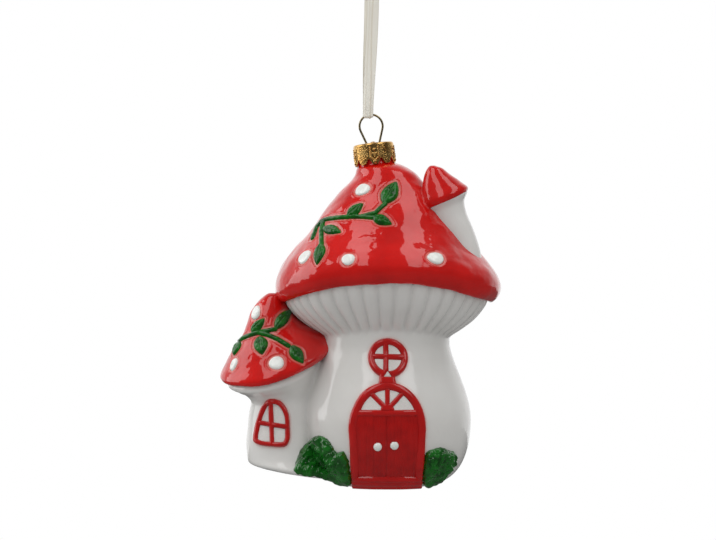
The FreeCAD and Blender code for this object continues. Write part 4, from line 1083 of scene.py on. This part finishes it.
knobs = relief("door_knobs_domed", wall, door_plane, (-4.6, 11.8), (4.6, 15.6), knobs_height, dot_enamel, 0.1)
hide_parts("door_knobs")


def step_height(a, b):
    """The door step: a low block that runs round the foot, with two grooves along it."""
    aside = np.maximum(np.abs(a) - STEP_HALF, 0)
    under = np.maximum(np.abs(b - STEP_MIDDLE) - STEP_FLAT, 0)
    limit = STEP_EDGE - np.hypot(aside, under)
    grooves = 0.30 * np.exp(-((b - 1.9) / 0.28) ** 2) + 0.18 * np.exp(-((b - 3.3) / 0.22) ** 2)
    return bead(limit, STEP_RISE, 1.1) - grooves * (limit > 0) + uneven(a, b, 2.4, 0.07, 5.0)


step_block = relief("door_step_moulded", wall, door_plane, (-12.8, -0.9), (12.8, 5.4), step_height,
                    red_enamel, 0.15)
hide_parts("door_step")

# Round window: a ring with a cross of bars and a short link down to the door's crown.
# Its four panes are pale glittering enamel, and so is the small spot above the link.
WINDOW_SIDE, WINDOW_HIGH, WINDOW_RADIUS, WINDOW_RING, WINDOW_BAR = 0.25, 41.3, 6.3, 2.25, 1.95
window_plane = plane_at(datum + Vector((WINDOW_SIDE / 1000, 0, WINDOW_HIGH / 1000)), FRONT)


def spot_distance(a, b):
    """How far inside the small pale spot over the link a place is."""
    return np.minimum(b + 5.75, 0.95 - np.abs(a + 0.15) - 0.75 * (b + 5.5))


def round_frame_distance(a, b):
    """How far inside the round window's ring, cross or link a place is."""
    away = np.hypot(a, b * 1.03) + 0.10 * np.sin(2 * np.arctan2(b, a) + 0.6)
    ring = np.minimum(WINDOW_RADIUS - away, away - WINDOW_RADIUS + WINDOW_RING)
    upright = np.abs(a + 0.7)
    level = np.abs(b - 0.3 + 0.03 * a)
    cross = np.minimum((WINDOW_BAR / 2 - np.minimum(upright, level)) * 0.9, WINDOW_RADIUS - 1.0 - away)
    link = np.minimum(2.5 + 0.25 * np.maximum(-b - 6.6, 0) - np.abs(a + 0.2), b + 8.6)
    link = np.minimum(link, -b - WINDOW_RADIUS + 1.9)
    return np.minimum(np.maximum(np.maximum(ring, cross), link), -spot_distance(a, b))


def round_frame_height(a, b):
    """The rounded bars of the round window."""
    return bead(round_frame_distance(a, b) + uneven(a, b, 2.2, 0.05, 6.0), 1.15, 0.95)


def round_panes_height(a, b):
    """The pale enamel between the bars and on the spot over the link."""
    limit = np.minimum(WINDOW_RADIUS - 1.4 - np.hypot(a, b), 0.5 - round_frame_distance(a, b))
    return bead(np.maximum(limit, spot_distance(a, b) + 0.25), 0.45, 0.5) + uneven(a, b, 0.7, 0.02, 7.0)


round_frame = relief("round_window_ring", wall, window_plane, (-7.2, -9.2), (7.2, 7.2), round_frame_height,
                     red_enamel, 0.13)
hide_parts("round_window_frame")
round_panes = relief("round_window_panes_glitter", wall, window_plane, (-5.4, -6.8), (5.4, 5.4),
                     round_panes_height, pane_enamel, 0.16)
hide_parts("round_window_panes")

# Annex window: a tall arched frame with one upright and one cross bar, and four glittering panes.
# Its outline is given in millimetres from the small house's middle, as seen straight from the front.
ANNEX_SIDE, ANNEX_FRAME, CROSS_HIGH = -36.1, 1.65, 19.9
ANNEX_OUTLINE = [(-0.4, 28.1), (2.2, 27.5), (4.2, 25.4), (5.3, 22.4), (5.5, 18.0), (5.3, 15.0), (3.9, 13.1),
                 (-0.2, 13.0), (-4.0, 13.4), (-5.9, 14.8), (-5.6, 18.4), (-4.6, 22.4), (-3.4, 25.4),
                 (-2.1, 27.4)]
annex_plane = plane_at(datum + Vector((ANNEX_SIDE / 1000, 0, 0)), FRONT)


def annex_bars_distance(a, b):
    """How far inside the annex window's frame or bars a place is."""
    outer = inside_outline(a, b, ANNEX_OUTLINE)
    ring = np.minimum(outer, ANNEX_FRAME - outer)
    upright = 0.82 - np.abs(a + 0.25 + 0.04 * (b - 20))
    cross = 0.85 - np.abs(b - CROSS_HIGH + 0.14 * a)
    return np.maximum(ring, np.minimum(np.maximum(upright, cross), outer - 0.4))


def annex_frame_height(a, b):
    """The rounded frame and bars of the annex window."""
    return bead(annex_bars_distance(a, b) + uneven(a, b, 2.2, 0.05, 8.0), 1.2, 0.75)


def annex_panes_height(a, b):
    """The pale enamel between its bars."""
    limit = np.minimum(inside_outline(a, b, ANNEX_OUTLINE) - 0.9, 0.5 - annex_bars_distance(a, b))
    return bead(limit, 0.45, 0.5) + uneven(a, b, 0.7, 0.02, 9.0)


annex_frame = relief("annex_window_frame_moulded", wall, annex_plane, (-7.0, 12.0), (7.0, 29.2),
                     annex_frame_height, red_enamel, 0.13)
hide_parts("annex_window_frame")
annex_panes = relief("annex_window_panes_glitter", wall, annex_plane, (-6.0, 13.0), (6.0, 28.0),
                     annex_panes_height, pane_enamel, 0.16)
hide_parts("annex_window_panes")

# Bushes: two clumps in the corner between wall and ground, covered in small pressed leaves higher up.
# Their outlines are given as seen from the front; their lower parts are smoother, as worn moulds leave them.
LEFT_BUSH = [(-29.0, 3.9), (-28.9, 7.6), (-27.2, 11.6), (-24.4, 14.4), (-21.8, 15.8), (-19.2, 14.8),
             (-17.3, 12.4), (-16.0, 10.5), (-13.8, 10.7), (-12.5, 8.6), (-11.8, 5.8), (-11.2, 0.2),
             (-16.9, 1.6), (-22.0, 2.7)]
RIGHT_BUSH = [(11.7, 0.2), (11.8, 5.6), (12.6, 10.2), (14.3, 11.2), (17.2, 12.0), (19.8, 11.2), (21.8, 10.3),
              (22.1, 8.3), (20.5, 5.6), (18.5, 2.9), (15.2, 0.7)]
BUSH_LEAVES = 130
LEAF_LIFT = 0.72


def bush(name, outline, seed):
    """A clump with small leaves all over it, pressed on the wall."""
    corners = np.array(outline)
    place, normal = seen_at(wall, *corners.mean(axis=0))
    plane = plane_at(place, (normal + Vector((0, -1.5, 0))).normalized())
    flat = np.array([flat_in(plane, seen_at(wall, x, z)[0]) for x, z in outline])
    low, high = flat.min(axis=0) - 1.5, flat.max(axis=0) + 1.5
    chance = np.random.default_rng(seed)
    spans = [(low[0], high[0]), (low[1], high[1]), (0.6, 2.5), (0.8, 1.3), (0.45, 0.65)]
    sprigs = [[chance.uniform(*span) for span in spans] for _ in range(BUSH_LEAVES)]

    def height_of(a, b):
        near = inside_outline(a, b, flat) + 0.12 * np.sin(2.6 * a + seed) * np.cos(2.9 * b)
        leaves = np.zeros(a.shape)
        for x, z, turn, long, wide in sprigs:
            forward = (a - x) * math.cos(turn) + (b - z) * math.sin(turn)
            aside = -(a - x) * math.sin(turn) + (b - z) * math.cos(turn)
            reach = 1 - (forward / long) ** 2 - (aside / wide) ** 2
            leaves = np.maximum(leaves, np.sqrt(np.clip(reach, 0, 1)) * (0.75 + 0.25 * forward / long))
        wear_and_glint = 0.30 + 0.70 * np.clip((b - low[1] - 4.0) / 4.0, 0, 1)
        lumps = 0.35 * np.sin(0.95 * a + seed) * np.cos(0.85 * b + 1.0)
        raised = bead(near, 1.7, 1.7) + (LEAF_LIFT * leaves * wear_and_glint + lumps) * np.clip(near, 0, 1)
        return np.where(near < 0, 1.5 * near, raised)

    return relief(name, wall, plane, low, high, height_of, bush_enamel, 0.14)


left_bush = bush("left_bush_leaves", LEFT_BUSH, 11)
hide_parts("bush_left")
right_bush = bush("right_bush_leaves", RIGHT_BUSH, 23)
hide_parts("bush_right")

# Edges of the painted details: the moulded line round each dot and vine, pressed into the red glaze and
# tinted pale along it as a painted highlight, and the thin pink bleed of the red enamel on the white glaze.
OUTLINE_LEVEL = 0.16


def beside(piece, details):
    """How far each point of a skin is from the nearest outline of some raised details, in millimetres."""
    outline = []
    for detail in details:
        heights = np.zeros(len(detail.data.vertices), np.float32)
        detail.data.attributes["height"].data.foreach_get("value", heights)
        near = np.flatnonzero((np.abs(heights) < OUTLINE_LEVEL) & (heights != 0))
        outline += [detail.data.vertices[int(i)].co for i in near]
    nearest = KDTree(len(outline))
    for number, place in enumerate(outline):
        nearest.insert(place, number)
    nearest.balance()
    return np.array([nearest.find(vertex.co)[2] * 1000 for vertex in piece.data.vertices])


GROOVE_AWAY, GROOVE_WIDTH, GROOVE_DEPTH = 0.35, 0.30, 0.00016
LIP_AWAY, LIP_WIDTH, LIP_RISE = 1.0, 0.32, 0.00009
BLEED_AWAY, BLEED_WIDTH = 0.1, 0.6
for cap, details in ((red_cap, cap_drops + [main_vine]), (annex_cap, annex_drops + [annex_vine])):
    away = beside(cap, details)
    groove = np.exp(-((away - GROOVE_AWAY) / GROOVE_WIDTH) ** 2)
    lip = np.exp(-((away - LIP_AWAY) / LIP_WIDTH) ** 2)
    push_out(cap, LIP_RISE * lip - GROOVE_DEPTH * groove)
    store(cap, "wear_and_glint", groove)
away = beside(white_body, [door_frame, step_block, round_frame, annex_frame])
store(white_body, "bleed", np.clip(1 - np.abs(away - BLEED_AWAY) / BLEED_WIDTH, 0, 1))


def tint_by(material, attribute, colour, amount):
    """Tint a finish along a painted edge, by a number kept at the piece's points."""
    tree = material.node_tree
    shader = tree.nodes["Principled BSDF"]
    share = calc(tree, "MULTIPLY", stored(tree, attribute), amount, use_clamp=True)
    before = shader.inputs["Base Color"].links[0].from_socket
    feed(tree, shader, {"Base Color": mixed(tree, share, before, (*colour, 1))})


# Painted highlight: the red glaze is tinted pale pink along the groove round each dot and vine.
tint_by(red_glaze, "wear_and_glint", (0.80, 0.33, 0.27), 0.42)
tint_by(white_glaze, "bleed", (0.84, 0.40, 0.34), 0.42)

# Light: a white tent at a plain level, dim towards the camera, with two long soft boxes that run from the
# front up overhead and one upright box at the left. The backdrop is white to the camera, and so is the
# floor far from the ornament, so that no horizon shows; reflections see a darker floor.
AMBIENT, BEFORE, BEHIND = 0.60, 0.07, 1.0
world = bpy.data.worlds.new("studio")
bpy.context.scene.world = world
world.use_nodes = True
tree = world.node_tree
ray = node(tree, "LightPath").outputs
way = node(tree, "SeparateXYZ", {"Vector": node(tree, "TexCoord").outputs["Generated"]}).outputs
behind = remap(tree, way["Y"], (0.15, 0.85), (BEFORE, BEHIND), interpolation_type="SMOOTHSTEP")
mirrored = calc(tree, "MAXIMUM", ray["Is Glossy Ray"], ray["Is Transmission Ray"])
around = node(tree, "Mix", {"Factor": mirrored, "A": AMBIENT, "B": behind}, data_type="FLOAT")
level = node(tree, "Mix", {"Factor": ray["Is Camera Ray"], "A": around.outputs["Result"], "B": 1.0},
             data_type="FLOAT")
background = tree.nodes["Background"]
background.inputs["Color"].default_value = (1, 1, 1, 1)
feed(tree, background, {"Strength": level.outputs["Result"]})

middle = datum + Vector((0, 0, 0.055))


def soft_box(name, start, end, wide, brightness):
    """A rectangular lamp of an even brightness that runs from one place to another and faces the ornament."""
    start, end = Vector(start), Vector(end)
    place, along = (start + end) / 2, end - start
    data = bpy.data.lights.new(name, "AREA")
    data.shape, data.size, data.size_y = "RECTANGLE", wide, along.length
    data.energy = brightness * math.pi * wide * along.length
    lamp = bpy.data.objects.new(name, data)
    back = place.normalized()
    upright = (along - back * along.dot(back)).normalized()
    turned = Matrix((upright.cross(back), upright, back)).transposed().to_4x4()
    turned.translation = middle + place
    lamp.matrix_world = turned
    bpy.context.scene.collection.objects.link(lamp)


soft_box("right_long_box", (0.20, 0.10, 0.75), (0.42, -0.65, 0.38), 0.26, 1.9)
soft_box("left_long_box", (-0.17, 0.10, 0.75), (-0.36, -0.65, 0.38), 0.24, 1.9)
soft_box("left_wall", (-0.62, 0.06, -0.05), (-0.62, 0.06, 0.60), 0.40, 2.1)
FLOOR_DROP = -0.30
FLOOR_SIDE, FLOOR_NEAR, FLOOR_FAR = 1.5, -1.5, 1.0
PAPER_SEEN, PAPER_MIRRORED, PAPER_LIT = (0.93, 0.93, 0.93, 1), (0.13, 0.13, 0.13, 1), (0.50, 0.50, 0.50, 1)
floor_corners = [(-FLOOR_SIDE, FLOOR_NEAR, FLOOR_DROP), (FLOOR_SIDE, FLOOR_NEAR, FLOOR_DROP),
                 (FLOOR_SIDE, FLOOR_FAR, FLOOR_DROP), (-FLOOR_SIDE, FLOOR_FAR, FLOOR_DROP)]
floor_data = bpy.data.meshes.new("floor")
floor_data.from_pydata(floor_corners, [], [(0, 1, 2, 3)])
floor = bpy.data.objects.new("floor", floor_data)
bpy.context.scene.collection.objects.link(floor)
paper, tree, shader = finish_of("white_paper", {
    "Roughness": 0.9, "Specular IOR Level": 0.1, "Emission Color": (1, 1, 1, 1)})
ray = node(tree, "LightPath").outputs
paper_glow = mixed(tree, ray["Is Glossy Ray"], PAPER_LIT, PAPER_MIRRORED)
away = node(tree, "VectorMath", {0: node(tree, "TexCoord").outputs["Object"]}, operation="LENGTH")
far = remap(tree, away.outputs["Value"], (0.42, 1.0), interpolation_type="SMOOTHSTEP")
feed(tree, shader, {"Base Color": mixed(tree, ray["Is Camera Ray"], paper_glow, PAPER_SEEN),
                    "Emission Strength": calc(tree, "MULTIPLY", far, ray["Is Camera Ray"])})
floor_data.materials.append(paper)
